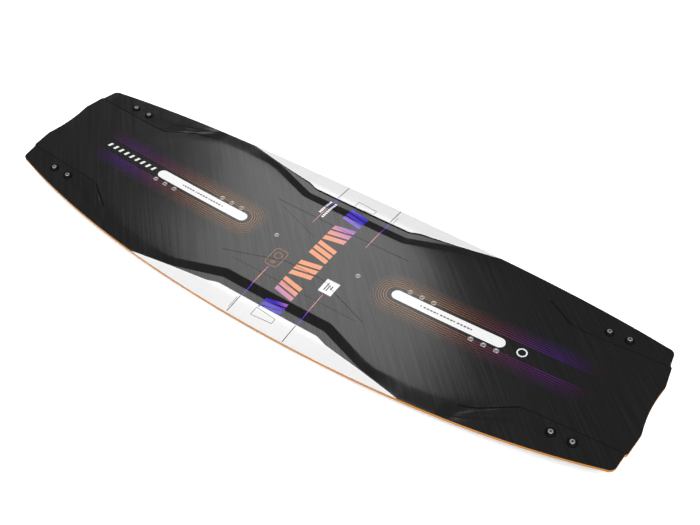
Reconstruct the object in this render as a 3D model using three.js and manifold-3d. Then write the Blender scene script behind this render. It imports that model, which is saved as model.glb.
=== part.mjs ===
// A twin-tip kiteboard, deck up, standing on its four fins. Millimetres, +Z up.
// X runs along the board, Y across it. The origin is on the ground under the board's middle.
// The board is mirror-symmetric in X and in Y, so every outline is written for its +X, +Y quarter.

import * as THREE from 'three';
import { mergeVertices } from 'three/addons/utils/BufferGeometryUtils.js';
import Module from 'manifold-3d';

const wasm = await Module();
wasm.setup();

// ---- Driving dimensions ----------------------------------------------------------------------

const HALF_LENGTH = 680;
const HALF_WIDTH = 208;

// The sides bow inwards towards the tips by these amounts at the half length.
const SIDE_BOW = 49;
const SIDE_BOW_FOURTH = 22.7;

// Heights over the ground at the middle of the board, and how far each rises at the half length.
const BASE_HEIGHT = 13;
const BASE_ROCKER = 42;
const DECK_HEIGHT = 28.2;
const DECK_ROCKER = 34.4;
const BASE_CONCAVE = 4.4;
const DECK_CROWN = 4.5;
const CROWN_HALF_WIDTH = 150;

// Thickness of the board's edge at the middle, and how much thinner it is at the tips.
const EDGE_THICKNESS = 6.2;
const EDGE_TAPER = 0.8;

const SKIN = 0.8;
const GAP = 0.35;
const RAIL_WIDTH = 9;
const RAIL_RABBET = 3;

// The raised deck, the bevel that drops from it, and the raised white band along each side.
// Each line is [x, y], and straight between its points.
const PLATEAU_EDGE = [[0, 125], [122, 125], [222, 161], [245, 166], [320, 163], [405, 151],
  [432, 142], [460, 123], [490, 103], [520, 100.5], [680, 100]];
const BEVEL_FOOT = [[0, 143.5], [118, 143.5], [216, 178.5], [312, 197], [375, 191], [416, 165],
  [436, 149], [462, 130], [492, 108], [550, 104.5], [680, 104]];
const BAND_EDGE = [[0, 161.5], [116, 161.5], [138, 169.5], [216, 180.5], [312, 197]];
const BAND_CREST = [[0, 172], [116, 172], [138, 173.5], [216, 184], [312, 198]];
const BAND_END = 312;

// Heights above the rail's top edge, along the same lines.
// Towards the tips the shoulders rise until they are almost level with the raised deck.
const SHOULDER_RISE = [[405, 0.6], [432, 2.4], [461, 3.6], [491, 4], [560, 3.2], [610, 2.6],
  [655, 2]];
const shoulder = (share) => SHOULDER_RISE.map(([x, rise]) => [x, rise * share]);
const BEVEL_FOOT_RISE = [[0, 2.4], [300, 0.5], ...shoulder(1)];
const CHANNEL_RISE = [[0, 1.2], [216, 1.2], [312, 0.3], ...shoulder(0.75)];
const BAND_EDGE_RISE = [[0, 4.1], [138, 3.8], [216, 2.5], [312, 0.5], ...shoulder(0.5)];
const BAND_CREST_RISE = [[0, 3.5], [138, 3.3], [216, 2.2], [312, 0.3], ...shoulder(0.25)];
const EDGE_RISE = [[0, 0]];
const OUTER_RISES = [BEVEL_FOOT_RISE, CHANNEL_RISE, BAND_EDGE_RISE, BAND_CREST_RISE, EDGE_RISE];

// The least spacing between two of these lines, and where the crown's own line lies.
const LINE_SPACING = 0.4;
const CROWN_LINE = 0.55;

// The tip: a shallow scoop between two points, a raised tongue, and a rounded corner.
const SCOOP_HALF_WIDTH = 55;
const SCOOP_DEPTH = 5;
const TONGUE_SET_BACK = 5;
const SHOULDER_SET_BACK = 8.5;
const CORNER_SET_BACK = 11;
const TIP_WARP_START = 600;
const TIP_ROW = HALF_LENGTH - CORNER_SET_BACK;
const CORNER_RADIUS = 14;
const CORNER_START = TIP_ROW - CORNER_RADIUS;
const TONGUE_STEP_HALF_WIDTH = 2;

// Cross-sections from the middle to the corner of the board.
const STATIONS = [0, 118, 138, 216, 245, 280, 312, 375, 390, 405, 432, 461, 491, 560, 610,
  CORNER_START];
const CORNER_STEPS = 3;

// M6 inserts for the pads and for the handle.
const INSERT_PITCH = 25.4;
const PAD_ROW_OFFSET = 19.6;
const OUTER_ROW_X = 378;
const INNER_ROW_X = 229;
const HANDLE_X = 98;
const INSERT_RADIUS = 5.5;
const INSERT_BORE = 2.5;
const INSERT_HEIGHT = 7;
const INSERT_BORE_DEPTH = 5.8;
const FLANGE_RADIUS = 7.5;
const FLANGE_HEIGHT = 1;

// Fins, and the screws, cup washers and threaded nuts that hold them.
const FIN_SCREW_X = [554.8, 592.2];
const FIN_Y = 124.2;
const FIN_MIDDLE = (FIN_SCREW_X[0] + FIN_SCREW_X[1]) / 2;
const FIN_TILT = Math.atan((2 * BASE_ROCKER * FIN_MIDDLE) / HALF_LENGTH ** 2);
const WASHER_RADIUS = 9.3;
const WASHER_HEIGHT = 3.9;
const WASHER_RIM_HEIGHT = 1.3;
const WASHER_CHAMFER = 0.4;
const WASHER_LIP = 0.9;
const WASHER_LIFT = 0.035;
const WASHER_SEAT = 1.7;
const HEAD_RADIUS = 4.5;
const HEAD_HEIGHT = 2.2;
const HEAD_CHAMFER = 0.4;
const SOCKET_RADIUS = 1.9;
const SOCKET_DEPTH = 1.3;
const SHANK_RADIUS = 2.8;
const SHANK_LENGTH = 16.2;
const HOLE_RADIUS = 3.3;
const NUT_RADIUS = 4.2;
const NUT_LENGTH = 9;
const NUT_DEPTH = 8.1;
const DRILL_OVERRUN = 3;
const FIN_ROOT_LENGTH = 92;
const FIN_FOOT_LENGTH = 42;
const FIN_RAKE = 6;
const FIN_ROOT_CURVE = [12, 22];
const FIN_FOOT_CURVE = [20, 4];
const FIN_BACK_CURVE = 3;
const FIN_THICKNESS = 5.4;
const FIN_BLOCK_WIDTH = 14.4;
const FIN_BLOCK_LENGTH = 66;
const FIN_BLOCK_HEIGHT = 13;
const FIN_BLOCK_DRAFT = 4;

const ROUND_SIDES = 12;
const HIDDEN_SIDES = 8;

// ---- Materials -------------------------------------------------------------------------------

const finish = (color, roughness, metalness) =>
  new THREE.MeshStandardMaterial({ color, roughness, metalness });

const carbonDeck = finish(0x262626, 0.35, 0);
const poplarCore = finish(0xc9a877, 0.8, 0);
const baseSheet = finish(0x1d1d1f, 0.3, 0);
const orangeRail = finish(0xcd8a4a, 0.45, 0);
const stainless = finish(0xb4b4b4, 0.35, 0.9);
const blackNylon = finish(0x0d0d0d, 0.5, 0);
const brass = finish(0xb08d45, 0.35, 0.9);
const finPlastic = finish(0x171717, 0.4, 0);

// ---- Small helpers ---------------------------------------------------------------------------

function along(line, x) {
  // The line's value at x, straight between its points and level past its ends.
  let last = line[0];
  for (const point of line) {
    if (x < point[0]) {
      const t = (x - last[0]) / (point[0] - last[0]);
      return last[1] + t * (point[1] - last[1]);
    }
    last = point;
  }
  return last[1];
}

function lerp(a, b, t) {
  return a + (b - a) * t;
}

function toSolid(geometry, matrix = new THREE.Matrix4()) {
  const bare = geometry.clone().applyMatrix4(matrix);
  bare.deleteAttribute('normal');
  bare.deleteAttribute('uv');
  const merged = mergeVertices(bare, 1e-4);
  const mesh = new wasm.Mesh({
    numProp: 3,
    vertProperties: new Float32Array(merged.attributes.position.array),
    triVerts: new Uint32Array(merged.index.array),
  });
  return new wasm.Manifold(mesh);
}

function toGeometry(solid) {
  const mesh = solid.getMesh();
  const geometry = new THREE.BufferGeometry();
  geometry.setAttribute('position', new THREE.BufferAttribute(mesh.vertProperties, 3));
  geometry.setIndex(new THREE.BufferAttribute(mesh.triVerts, 1));
  geometry.computeVertexNormals();
  return geometry;
}

function geometryFrom(positions, triangles) {
  const geometry = new THREE.BufferGeometry();
  geometry.setAttribute('position', new THREE.Float32BufferAttribute(positions, 3));
  geometry.setIndex(triangles);
  geometry.computeVertexNormals();
  return geometry;
}

function turned(profile, sides) {
  // A lathe solid about Z from [radius, height] pairs, listed upwards along the outside.
  const points = profile.map(([radius, height]) => new THREE.Vector2(radius, height));
  return new THREE.LatheGeometry(points, sides).rotateX(Math.PI / 2);
}

function rod(radius, bottom, top, sides) {
  return new THREE.CylinderGeometry(radius, radius, top - bottom, sides)
    .rotateX(Math.PI / 2)
    .translate(0, 0, (top + bottom) / 2);
}

// ---- The board's surfaces --------------------------------------------------------------------

const fraction = (x) => x / HALF_LENGTH;

function halfWidth(x) {
  const t = fraction(x);
  return HALF_WIDTH - SIDE_BOW * t ** 2 - SIDE_BOW_FOURTH * t ** 4;
}

function baseEdgeHeight(x) {
  return BASE_HEIGHT + BASE_ROCKER * fraction(x) ** 2;
}

function baseHeight(x, y) {
  const t = fraction(x);
  const across = y / halfWidth(Math.min(Math.abs(x), CORNER_START));
  return baseEdgeHeight(x) + BASE_CONCAVE * (1 - t ** 2) * (1 - across ** 2);
}

function railTopHeight(x) {
  return baseEdgeHeight(x) + EDGE_THICKNESS - EDGE_TAPER * fraction(x) ** 2;
}

function plateauHeight(x, y) {
  const t = fraction(x);
  const crown = DECK_CROWN * (1 - t ** 2) * (y / CROWN_HALF_WIDTH) ** 2;
  return DECK_HEIGHT + DECK_ROCKER * t ** 2 - crown;
}

function deckLines(x, edge) {
  // Where the deck's long lines cross the section at x, as y, from the centre line to the edge.
  const plateau = along(PLATEAU_EDGE, x);
  const foot = Math.min(along(BEVEL_FOOT, x), edge - 4 * LINE_SPACING);
  const inner = [0, plateau * CROWN_LINE, plateau, foot];
  if (x >= BAND_END) {
    return [...inner, ...[1, 2, 3, 4].map((quarter) => lerp(foot, edge, quarter / 4))];
  }
  const band = Math.min(along(BAND_EDGE, x), edge - 2 * LINE_SPACING);
  const wallFoot = Math.max(band - 2 * LINE_SPACING, foot + LINE_SPACING);
  const wallTop = Math.max(band, wallFoot + LINE_SPACING);
  const crest = Math.min(along(BAND_CREST, x), edge - LINE_SPACING);
  return [...inner, wallFoot, wallTop, crest, edge];
}

function deckHeight(line, x, y) {
  // Height of one of those lines at x. The first three lie on the crowned plateau.
  if (line < 3) {
    return plateauHeight(x, y);
  }
  return railTopHeight(x) + along(OUTER_RISES[line - 3], x);
}

function deckSection(x, edge) {
  return deckLines(x, edge).map((y, line) => [y, deckHeight(line, x, y)]);
}

function deckUnderside(section) {
  // One skin below the deck, and straight under the raised band.
  const under = section.map(([y, height]) => [y, height - SKIN]);
  const [footY, footHeight] = under[4];
  const [edgeY, edgeHeight] = under[7];
  for (const k of [5, 6]) {
    const t = (under[k][0] - footY) / (edgeY - footY);
    under[k][1] = lerp(footHeight, edgeHeight, t);
  }
  return under;
}

const CORNER_CENTRE_Y = halfWidth(CORNER_START) - CORNER_RADIUS;
const TONGUE_EDGE = along(PLATEAU_EDGE, HALF_LENGTH) + TONGUE_STEP_HALF_WIDTH;

function tipOutline(y) {
  // How far the tip reaches at y, from the scoop out to the shoulder beside the tongue.
  if (y <= SCOOP_HALF_WIDTH) {
    return HALF_LENGTH - SCOOP_DEPTH * (1 - (y / SCOOP_HALF_WIDTH) ** 2);
  }
  if (y < TONGUE_EDGE) {
    const t = (y - SCOOP_HALF_WIDTH) / (TONGUE_EDGE - SCOOP_HALF_WIDTH);
    return HALF_LENGTH - TONGUE_SET_BACK * t;
  }
  const t = Math.min((y - TONGUE_EDGE) / (CORNER_CENTRE_Y - TONGUE_EDGE), 1);
  return HALF_LENGTH - lerp(SHOULDER_SET_BACK, CORNER_SET_BACK, t);
}

function boardRows(inset) {
  // The cross-sections of a quarter board that stops short of the outline by an inset: each
  // row's x and its edge's y. The last few rows turn the rounded corner.
  const rows = STATIONS.map((x) => ({ x, edge: halfWidth(x) - inset }));
  const radius = CORNER_RADIUS - inset;
  for (let k = 1; k <= CORNER_STEPS; k += 1) {
    const angle = (Math.PI / 2) * (k / CORNER_STEPS);
    const edge = CORNER_CENTRE_Y + radius * Math.cos(angle);
    rows.push({ x: CORNER_START + radius * Math.sin(angle), edge });
  }
  return rows;
}

function outlineX(row, y) {
  // Stretches the last rows out to the tip's own outline.
  const past = Math.max(0, row.x - TIP_WARP_START) / (TIP_ROW - TIP_WARP_START);
  return row.x + past ** 2 * (tipOutline(y) - TIP_ROW);
}

function slab(rows, topOf, bottomOf) {
  // A closed plate over the whole board from quarter rows. topOf and bottomOf give a row's
  // points as [x, y, height], from the centre line to the edge.
  const full = [...rows.slice(1).reverse().map((row) => [row, -1]), ...rows.map((row) => [row, 1])];
  const spread = (points, side) => {
    const mirrored = points.slice(1).reverse().map(([x, y, z]) => [side * x, -y, z]);
    return [...mirrored, ...points.map(([x, y, z]) => [side * x, y, z])];
  };
  const top = full.map(([row, side]) => spread(topOf(row), side));
  const bottom = full.map(([row, side]) => spread(bottomOf(row), side));
  const across = top[0].length;
  const positions = [...top.flat(), ...bottom.flat()].flat();
  const at = (layer, i, j) => (layer * top.length + i) * across + j;
  const triangles = [];
  const quad = (a, b, c, d) => triangles.push(a, b, c, a, c, d);
  for (let i = 0; i + 1 < top.length; i += 1) {
    for (let j = 0; j + 1 < across; j += 1) {
      quad(at(0, i, j), at(0, i + 1, j), at(0, i + 1, j + 1), at(0, i, j + 1));
      quad(at(1, i, j), at(1, i, j + 1), at(1, i + 1, j + 1), at(1, i + 1, j));
    }
    const last = across - 1;
    quad(at(0, i + 1, 0), at(0, i, 0), at(1, i, 0), at(1, i + 1, 0));
    quad(at(0, i, last), at(0, i + 1, last), at(1, i + 1, last), at(1, i, last));
  }
  const end = top.length - 1;
  for (let j = 0; j + 1 < across; j += 1) {
    quad(at(0, 0, j), at(0, 0, j + 1), at(1, 0, j + 1), at(1, 0, j));
    quad(at(0, end, j + 1), at(0, end, j), at(1, end, j), at(1, end, j + 1));
  }
  return geometryFrom(positions, triangles);
}

// ---- Skins and core --------------------------------------------------------------------------

function deckLaminate() {
  const section = (row) => deckLines(row.x, row.edge).map((y, line) => {
    const x = outlineX(row, y);
    return [x, y, deckHeight(line, x, y)];
  });
  const underside = (row) => {
    const places = section(row);
    const under = deckUnderside(places.map(([, y, z]) => [y, z]));
    return places.map(([x, y], k) => [x, y, under[k][1]]);
  };
  return slab(boardRows(0), section, underside);
}

function cornerEdge(x) {
  // The y of the board's edge at x, round the corner too.
  const past = Math.min(Math.max(x - CORNER_START, 0), CORNER_RADIUS);
  const fullEdge = halfWidth(Math.min(x, CORNER_START));
  return fullEdge - CORNER_RADIUS + Math.sqrt(CORNER_RADIUS ** 2 - past ** 2);
}

function underDeck(x, y) {
  // The height that clears the deck laminate's underside.
  const section = deckSection(x, cornerEdge(x));
  return along(deckUnderside(section), y) - GAP;
}

function overBase(x, y) {
  return baseHeight(x, y) + SKIN + GAP;
}

function woodCore() {
  const columns = (row, heightAt) => {
    const lines = [...deckLines(row.x, halfWidth(row.x)).slice(0, 5), row.edge];
    return lines.map((line, k) => {
      const y = Math.min(line, row.edge - (lines.length - 1 - k) * LINE_SPACING);
      return [row.x, y, heightAt(row.x, y)];
    });
  };
  const rows = boardRows(RAIL_WIDTH + GAP);
  return slab(rows, (row) => columns(row, underDeck), (row) => columns(row, overBase));
}

function baseLaminate() {
  const columns = (row, lift) => [0, 0.4, 0.75, 1].map((t) => {
    const y = row.edge * t;
    return [row.x, y, baseHeight(row.x, y) + lift];
  });
  const rows = boardRows(RAIL_RABBET + GAP);
  return slab(rows, (row) => columns(row, SKIN), (row) => columns(row, 0));
}

// ---- Rails -----------------------------------------------------------------------------------

function railStrip(path) {
  // A strip that runs with the board's inside on its left. Each place on the path is a function
  // from depth under the edge to [x, y]. The outer face is the board's edge below the deck
  // laminate, and the foot is rebated for the base laminate.
  const depths = [0, 0, RAIL_WIDTH, RAIL_WIDTH, RAIL_RABBET, RAIL_RABBET];
  const heights = [baseEdgeHeight, underDeck, underDeck, overBase, overBase, baseEdgeHeight];
  const positions = path.flatMap((place) => depths.flatMap((depth, k) => {
    const [x, y] = place(depth);
    return [x, y, heights[k](Math.abs(x), Math.abs(y))];
  }));
  const corners = depths.length;
  const triangles = [];
  for (let i = 0; i + 1 < path.length; i += 1) {
    for (let k = 0; k < corners; k += 1) {
      const a = i * corners + k;
      const b = i * corners + ((k + 1) % corners);
      triangles.push(a, a + corners, b, b, a + corners, b + corners);
    }
  }
  const end = (path.length - 1) * corners;
  for (const [a, b, c] of [[0, 1, 5], [1, 4, 5], [1, 2, 4], [2, 3, 4]]) {
    triangles.push(a, b, c, end + a, end + c, end + b);
  }
  return geometryFrom(positions, triangles);
}

function sidePath() {
  // Along the +Y side, from +X to -X.
  const half = [...STATIONS.slice(0, -1), CORNER_START - GAP];
  const whole = [...half.slice(1).reverse(), ...half.map((x) => -x)];
  return whole.map((x) => (depth) => [x, halfWidth(x) - depth]);
}

function tipPath() {
  // Around the +X tip, from -Y to +Y: the rounded corner, then the outline across to the
  // middle. The strip's inner face is straight across the tip.
  const half = [];
  for (let k = 0; k < CORNER_STEPS; k += 1) {
    const angle = (Math.PI / 2) * (k / CORNER_STEPS);
    half.push((depth) => [
      CORNER_START + (CORNER_RADIUS - depth) * Math.sin(angle),
      CORNER_CENTRE_Y + (CORNER_RADIUS - depth) * Math.cos(angle),
    ]);
  }
  const step = [TONGUE_EDGE + TONGUE_STEP_HALF_WIDTH, TONGUE_EDGE - TONGUE_STEP_HALF_WIDTH];
  for (const y of [CORNER_CENTRE_Y, ...step, SCOOP_HALF_WIDTH, 0]) {
    half.push((depth) => [depth > 0 ? TIP_ROW - depth : tipOutline(y), y]);
  }
  const nearHalf = half.map((place) => (depth) => [place(depth)[0], -place(depth)[1]]);
  return [...nearHalf, ...half.slice(0, -1).reverse()];
}

// ---- Inserts, screws, washers and nuts -------------------------------------------------------

function insertShape() {
  return turned([
    [0, -INSERT_HEIGHT],
    [FLANGE_RADIUS, -INSERT_HEIGHT],
    [FLANGE_RADIUS, FLANGE_HEIGHT - INSERT_HEIGHT],
    [INSERT_RADIUS, FLANGE_HEIGHT - INSERT_HEIGHT],
    [INSERT_RADIUS, 0],
    [INSERT_BORE, 0],
    [INSERT_BORE, -INSERT_BORE_DEPTH],
    [0, -INSERT_BORE_DEPTH],
  ], ROUND_SIDES);
}

function washerShape() {
  const seat = HEAD_RADIUS + GAP;
  return turned([
    [HOLE_RADIUS, 0],
    [WASHER_RADIUS, 0],
    [WASHER_RADIUS - WASHER_CHAMFER, WASHER_RIM_HEIGHT],
    [seat + WASHER_LIP, WASHER_HEIGHT],
    [seat, WASHER_HEIGHT],
    [seat, WASHER_SEAT],
    [HOLE_RADIUS, WASHER_SEAT],
    [HOLE_RADIUS, 0],
  ], ROUND_SIDES);
}

function screwShape() {
  const headBottom = WASHER_SEAT + GAP;
  const headTop = headBottom + HEAD_HEIGHT;
  const body = turned([
    [0, headBottom - SHANK_LENGTH],
    [SHANK_RADIUS, headBottom - SHANK_LENGTH],
    [SHANK_RADIUS, headBottom],
    [HEAD_RADIUS, headBottom],
    [HEAD_RADIUS, headTop - HEAD_CHAMFER],
    [HEAD_RADIUS - HEAD_CHAMFER, headTop],
    [0, headTop],
  ], ROUND_SIDES);
  const socket = rod(SOCKET_RADIUS, headTop - SOCKET_DEPTH, headTop + 1, 6);
  return toGeometry(toSolid(body).subtract(toSolid(socket)));
}

function nutShape() {
  const bore = SHANK_RADIUS + GAP;
  const bottom = -NUT_DEPTH - NUT_LENGTH;
  return turned([
    [bore, bottom],
    [NUT_RADIUS, bottom],
    [NUT_RADIUS, -NUT_DEPTH],
    [bore, -NUT_DEPTH],
    [bore, bottom],
  ], HIDDEN_SIDES);
}

function screwMatrix({ x, endSign, sideSign }) {
  // A fin screw's place, just clear of the deck, with its axis square to the board's base.
  const deck = along(deckSection(x, halfWidth(x)), FIN_Y);
  const lift = GAP + WASHER_LIFT * WASHER_RADIUS;
  const matrix = new THREE.Matrix4().makeRotationY(-FIN_TILT * endSign);
  return matrix.setPosition(endSign * x, sideSign * FIN_Y, deck + lift);
}

// ---- Fins ------------------------------------------------------------------------------------

const finTop = (x) => baseHeight(x, FIN_Y) - GAP;
const NUT_POCKET = rod(NUT_RADIUS + GAP, -NUT_DEPTH - NUT_LENGTH - GAP, 0, HIDDEN_SIDES);

function upright(shape, thickness) {
  // An extrusion of an XZ outline, centred on Y = 0.
  const settings = { depth: thickness, bevelEnabled: false, curveSegments: 6 };
  return new THREE.ExtrudeGeometry(shape, settings)
    .translate(0, 0, -thickness / 2)
    .rotateX(Math.PI / 2);
}

function finShape() {
  // A raked blade with a thicker block round its two nuts, in the +X, +Y quarter's place.
  const front = FIN_MIDDLE - FIN_ROOT_LENGTH / 2;
  const back = FIN_MIDDLE + FIN_ROOT_LENGTH / 2;
  const footFront = FIN_MIDDLE + FIN_RAKE - FIN_FOOT_LENGTH / 2;
  const footBack = footFront + FIN_FOOT_LENGTH;
  const [rootReach, rootHeight] = FIN_ROOT_CURVE;
  const [footReach, footHeight] = FIN_FOOT_CURVE;
  const blade = new THREE.Shape();
  blade.moveTo(front, finTop(front));
  blade.bezierCurveTo(front + rootReach, rootHeight, front + footReach, footHeight, footFront, 0);
  blade.lineTo(footBack, 0);
  blade.bezierCurveTo(back - FIN_BACK_CURVE, footHeight, back - FIN_BACK_CURVE, rootHeight,
    back, finTop(back));
  blade.closePath();

  const blockFront = FIN_MIDDLE - FIN_BLOCK_LENGTH / 2;
  const blockBack = FIN_MIDDLE + FIN_BLOCK_LENGTH / 2;
  const block = new THREE.Shape();
  block.moveTo(blockFront, finTop(blockFront));
  block.lineTo(blockFront + FIN_BLOCK_DRAFT, finTop(blockFront) - FIN_BLOCK_HEIGHT);
  block.lineTo(blockBack - FIN_BLOCK_DRAFT, finTop(blockBack) - FIN_BLOCK_HEIGHT);
  block.lineTo(blockBack, finTop(blockBack));
  block.closePath();

  let fin = toSolid(upright(blade, FIN_THICKNESS)).add(toSolid(upright(block, FIN_BLOCK_WIDTH)));
  for (const x of FIN_SCREW_X) {
    const place = screwMatrix({ x, endSign: 1, sideSign: 0 });
    fin = fin.subtract(toSolid(NUT_POCKET, place));
  }
  return toGeometry(fin);
}

// ---- Assembly --------------------------------------------------------------------------------

const group = new THREE.Group();

function addMesh(name, geometry, material, parent = group) {
  const mesh = new THREE.Mesh(geometry, material);
  mesh.name = name;
  parent.add(mesh);
  return mesh;
}

const ends = [['left', -1], ['right', 1]];
const sides = [['near', -1], ['far', 1]];

function insertPlaces() {
  const places = [];
  for (const [end, endSign] of ends) {
    for (const [row, rowX, y] of [['outer', OUTER_ROW_X, -PAD_ROW_OFFSET],
      ['inner', INNER_ROW_X, PAD_ROW_OFFSET]]) {
      for (const step of [-1, 0, 1]) {
        const x = endSign * (rowX + step * INSERT_PITCH);
        places.push({ name: `pad_insert_${end}_${row}_${step + 2}`, x, y });
      }
    }
    places.push({ name: `handle_insert_${end}`, x: endSign * HANDLE_X, y: 0 });
  }
  return places;
}

function insertMatrix({ x, y }) {
  // Flush with the deck and square to it.
  const slope = (2 * DECK_ROCKER * x) / HALF_LENGTH ** 2;
  const matrix = new THREE.Matrix4().makeRotationY(-Math.atan(slope));
  return matrix.setPosition(x, y, plateauHeight(x, y));
}

function drilled(geometry, drills) {
  let solid = toSolid(geometry);
  for (const [tool, matrix] of drills) {
    solid = solid.subtract(toSolid(tool, matrix));
  }
  return toGeometry(solid);
}

const inserts = insertPlaces();
const barrelHole = rod(INSERT_RADIUS + GAP, -INSERT_HEIGHT - GAP, DRILL_OVERRUN, ROUND_SIDES);
const flangeHole = rod(FLANGE_RADIUS + GAP, -INSERT_HEIGHT - GAP,
  FLANGE_HEIGHT + GAP - INSERT_HEIGHT, ROUND_SIDES);
const screwHole = rod(HOLE_RADIUS, -SHANK_LENGTH, DRILL_OVERRUN, ROUND_SIDES);

const screwPlaces = [];
for (const [end, endSign] of ends) {
  for (const [side, sideSign] of sides) {
    FIN_SCREW_X.forEach((x, k) => {
      screwPlaces.push({ name: `${end}_${side}_${k + 1}`, x, endSign, sideSign });
    });
  }
}

const insertDrills = inserts.map((place) => [barrelHole, insertMatrix(place)]);
const flangeDrills = inserts.map((place) => [flangeHole, insertMatrix(place)]);
const screwDrills = screwPlaces.map((place) => [screwHole, screwMatrix(place)]);

addMesh('deck_laminate', drilled(deckLaminate(), [...insertDrills, ...screwDrills]), carbonDeck);
addMesh('wood_core', drilled(woodCore(), [...insertDrills, ...flangeDrills, ...screwDrills]),
  poplarCore);
addMesh('base_laminate', drilled(baseLaminate(), screwDrills), baseSheet);

addMesh('far_rail', railStrip(sidePath()), orangeRail);
addMesh('near_rail', railStrip(sidePath()).rotateZ(Math.PI), orangeRail);
addMesh('right_tip_rail', railStrip(tipPath()), orangeRail);
addMesh('left_tip_rail', railStrip(tipPath()).rotateZ(Math.PI), orangeRail);

const insertGeometry = insertShape();
for (const place of inserts) {
  addMesh(place.name, insertGeometry, stainless).applyMatrix4(insertMatrix(place));
}

const washerGeometry = washerShape();
const screwGeometry = screwShape();
const nutGeometry = nutShape();
for (const place of screwPlaces) {
  const onDeck = screwMatrix(place);
  addMesh(`fin_washer_${place.name}`, washerGeometry, blackNylon).applyMatrix4(onDeck);
  addMesh(`fin_screw_${place.name}`, screwGeometry, stainless).applyMatrix4(onDeck);
  addMesh(`fin_nut_${place.name}`, nutGeometry, brass).applyMatrix4(onDeck);
}

const finGeometry = finShape();
for (const [end, endSign] of ends) {
  for (const [side, sideSign] of sides) {
    const fin = addMesh(`fin_${end}_${side}`, finGeometry, finPlastic);
    fin.rotation.z = endSign < 0 ? Math.PI : 0;
    fin.position.y = sideSign * FIN_Y;
  }
}

export default group;
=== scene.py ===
"""The looks of a twin-tip kiteboard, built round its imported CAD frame.

X runs along the board, Y across it, and Z up. Lengths are in millimetres until a mesh is made.
The board is the same on both sides of X = 0 and of Y = 0, so each outline is written once, for
positive X and Y.
"""

import math

import bmesh
import bpy
import numpy as np
from mathutils import Matrix, Vector


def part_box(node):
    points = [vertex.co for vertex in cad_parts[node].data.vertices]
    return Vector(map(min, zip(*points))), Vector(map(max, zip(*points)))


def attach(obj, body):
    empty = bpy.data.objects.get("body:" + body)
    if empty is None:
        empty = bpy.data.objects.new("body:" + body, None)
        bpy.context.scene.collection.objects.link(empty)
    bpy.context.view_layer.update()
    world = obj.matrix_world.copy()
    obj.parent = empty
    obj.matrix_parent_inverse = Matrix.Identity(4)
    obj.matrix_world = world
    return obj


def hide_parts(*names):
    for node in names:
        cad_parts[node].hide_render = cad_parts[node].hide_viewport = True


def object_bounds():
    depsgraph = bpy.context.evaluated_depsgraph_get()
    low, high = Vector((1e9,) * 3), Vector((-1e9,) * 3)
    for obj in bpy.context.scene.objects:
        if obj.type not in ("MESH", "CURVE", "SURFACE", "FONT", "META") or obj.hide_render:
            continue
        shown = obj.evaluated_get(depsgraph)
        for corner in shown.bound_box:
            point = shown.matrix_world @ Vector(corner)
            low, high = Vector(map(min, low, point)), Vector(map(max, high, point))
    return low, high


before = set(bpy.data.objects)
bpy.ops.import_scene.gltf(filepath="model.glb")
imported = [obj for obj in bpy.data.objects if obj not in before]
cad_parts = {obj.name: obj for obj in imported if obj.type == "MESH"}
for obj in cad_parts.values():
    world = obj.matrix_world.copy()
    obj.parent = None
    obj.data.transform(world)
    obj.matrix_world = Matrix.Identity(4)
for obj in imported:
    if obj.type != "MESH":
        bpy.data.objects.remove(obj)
cad_low, cad_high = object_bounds()

MM = 0.001

# ---- Dimensions

HALF_LENGTH = cad_high.x / MM
HALF_WIDTH = cad_high.y / MM
SIDE_BOW = 49.0
SIDE_BOW_FOURTH = 22.7
BASE_HEIGHT = 13.0
BASE_ROCKER = 42.0
BASE_CONCAVE = 4.4
DECK_HEIGHT = 28.2
DECK_ROCKER = 34.4
DECK_CROWN = 4.5
CROWN_HALF_WIDTH = 150.0
EDGE_THICKNESS = 6.2
EDGE_TAPER = 0.8
SKIN = 0.8

# The long lines of the deck: the raised deck's edge, the foot of its bevel, and the raised band
# along each side. Each is [x, y], and then [x, height over the rail's top].
PLATEAU_EDGE = [(0, 125), (122, 125), (222, 161), (245, 166), (320, 163), (405, 151),
                (432, 142), (460, 123), (490, 103), (520, 100.5), (680, 100)]
BEVEL_FOOT = [(0, 143.5), (118, 143.5), (216, 178.5), (312, 197), (375, 191), (416, 165),
              (436, 149), (462, 130), (492, 108), (550, 104.5), (680, 104)]
BAND_EDGE = [(0, 161.5), (116, 161.5), (138, 169.5), (216, 180.5), (312, 197)]
BAND_CREST = [(0, 172), (116, 172), (138, 173.5), (216, 184), (312, 198)]
BAND_END = 312.0
BAND_FADE = 40.0
BAND_PRINT_END = 306.0
SHOULDER_RISE = [(405, 0.6), (432, 2.4), (461, 3.6), (491, 4.0), (560, 3.2), (610, 2.6),
                 (655, 2.0)]


def shoulder(share):
    return [(x, share * rise) for x, rise in SHOULDER_RISE]


FOOT_RISE = [(0, 2.4), (300, 0.5), *SHOULDER_RISE]
CHANNEL_RISE = [(0, 1.2), (216, 1.2), (312, 0.3), *shoulder(0.75)]
BAND_RISE = [(0, 4.1), (138, 3.8), (216, 2.5), (312, 0.5), *shoulder(0.5)]
CREST_RISE = [(0, 3.5), (138, 3.3), (216, 2.2), (312, 0.3), *shoulder(0.25)]
RISES = (FOOT_RISE, CHANNEL_RISE, BAND_RISE, CREST_RISE)

# How corners are rounded: [step along the line, weight]. LINE_EASE's steps are in lengths of
# CORNER_EASE, and TIP_EASE's in millimetres.
CORNER_EASE = 5.0
LINE_EASE = ((-1.0, 0.1), (-0.5, 0.2), (0.0, 0.4), (0.5, 0.2), (1.0, 0.1))
TIP_EASE = ((-2.0, 0.15), (-1.0, 0.2), (0.0, 0.3), (1.0, 0.2), (2.0, 0.15))

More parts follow.
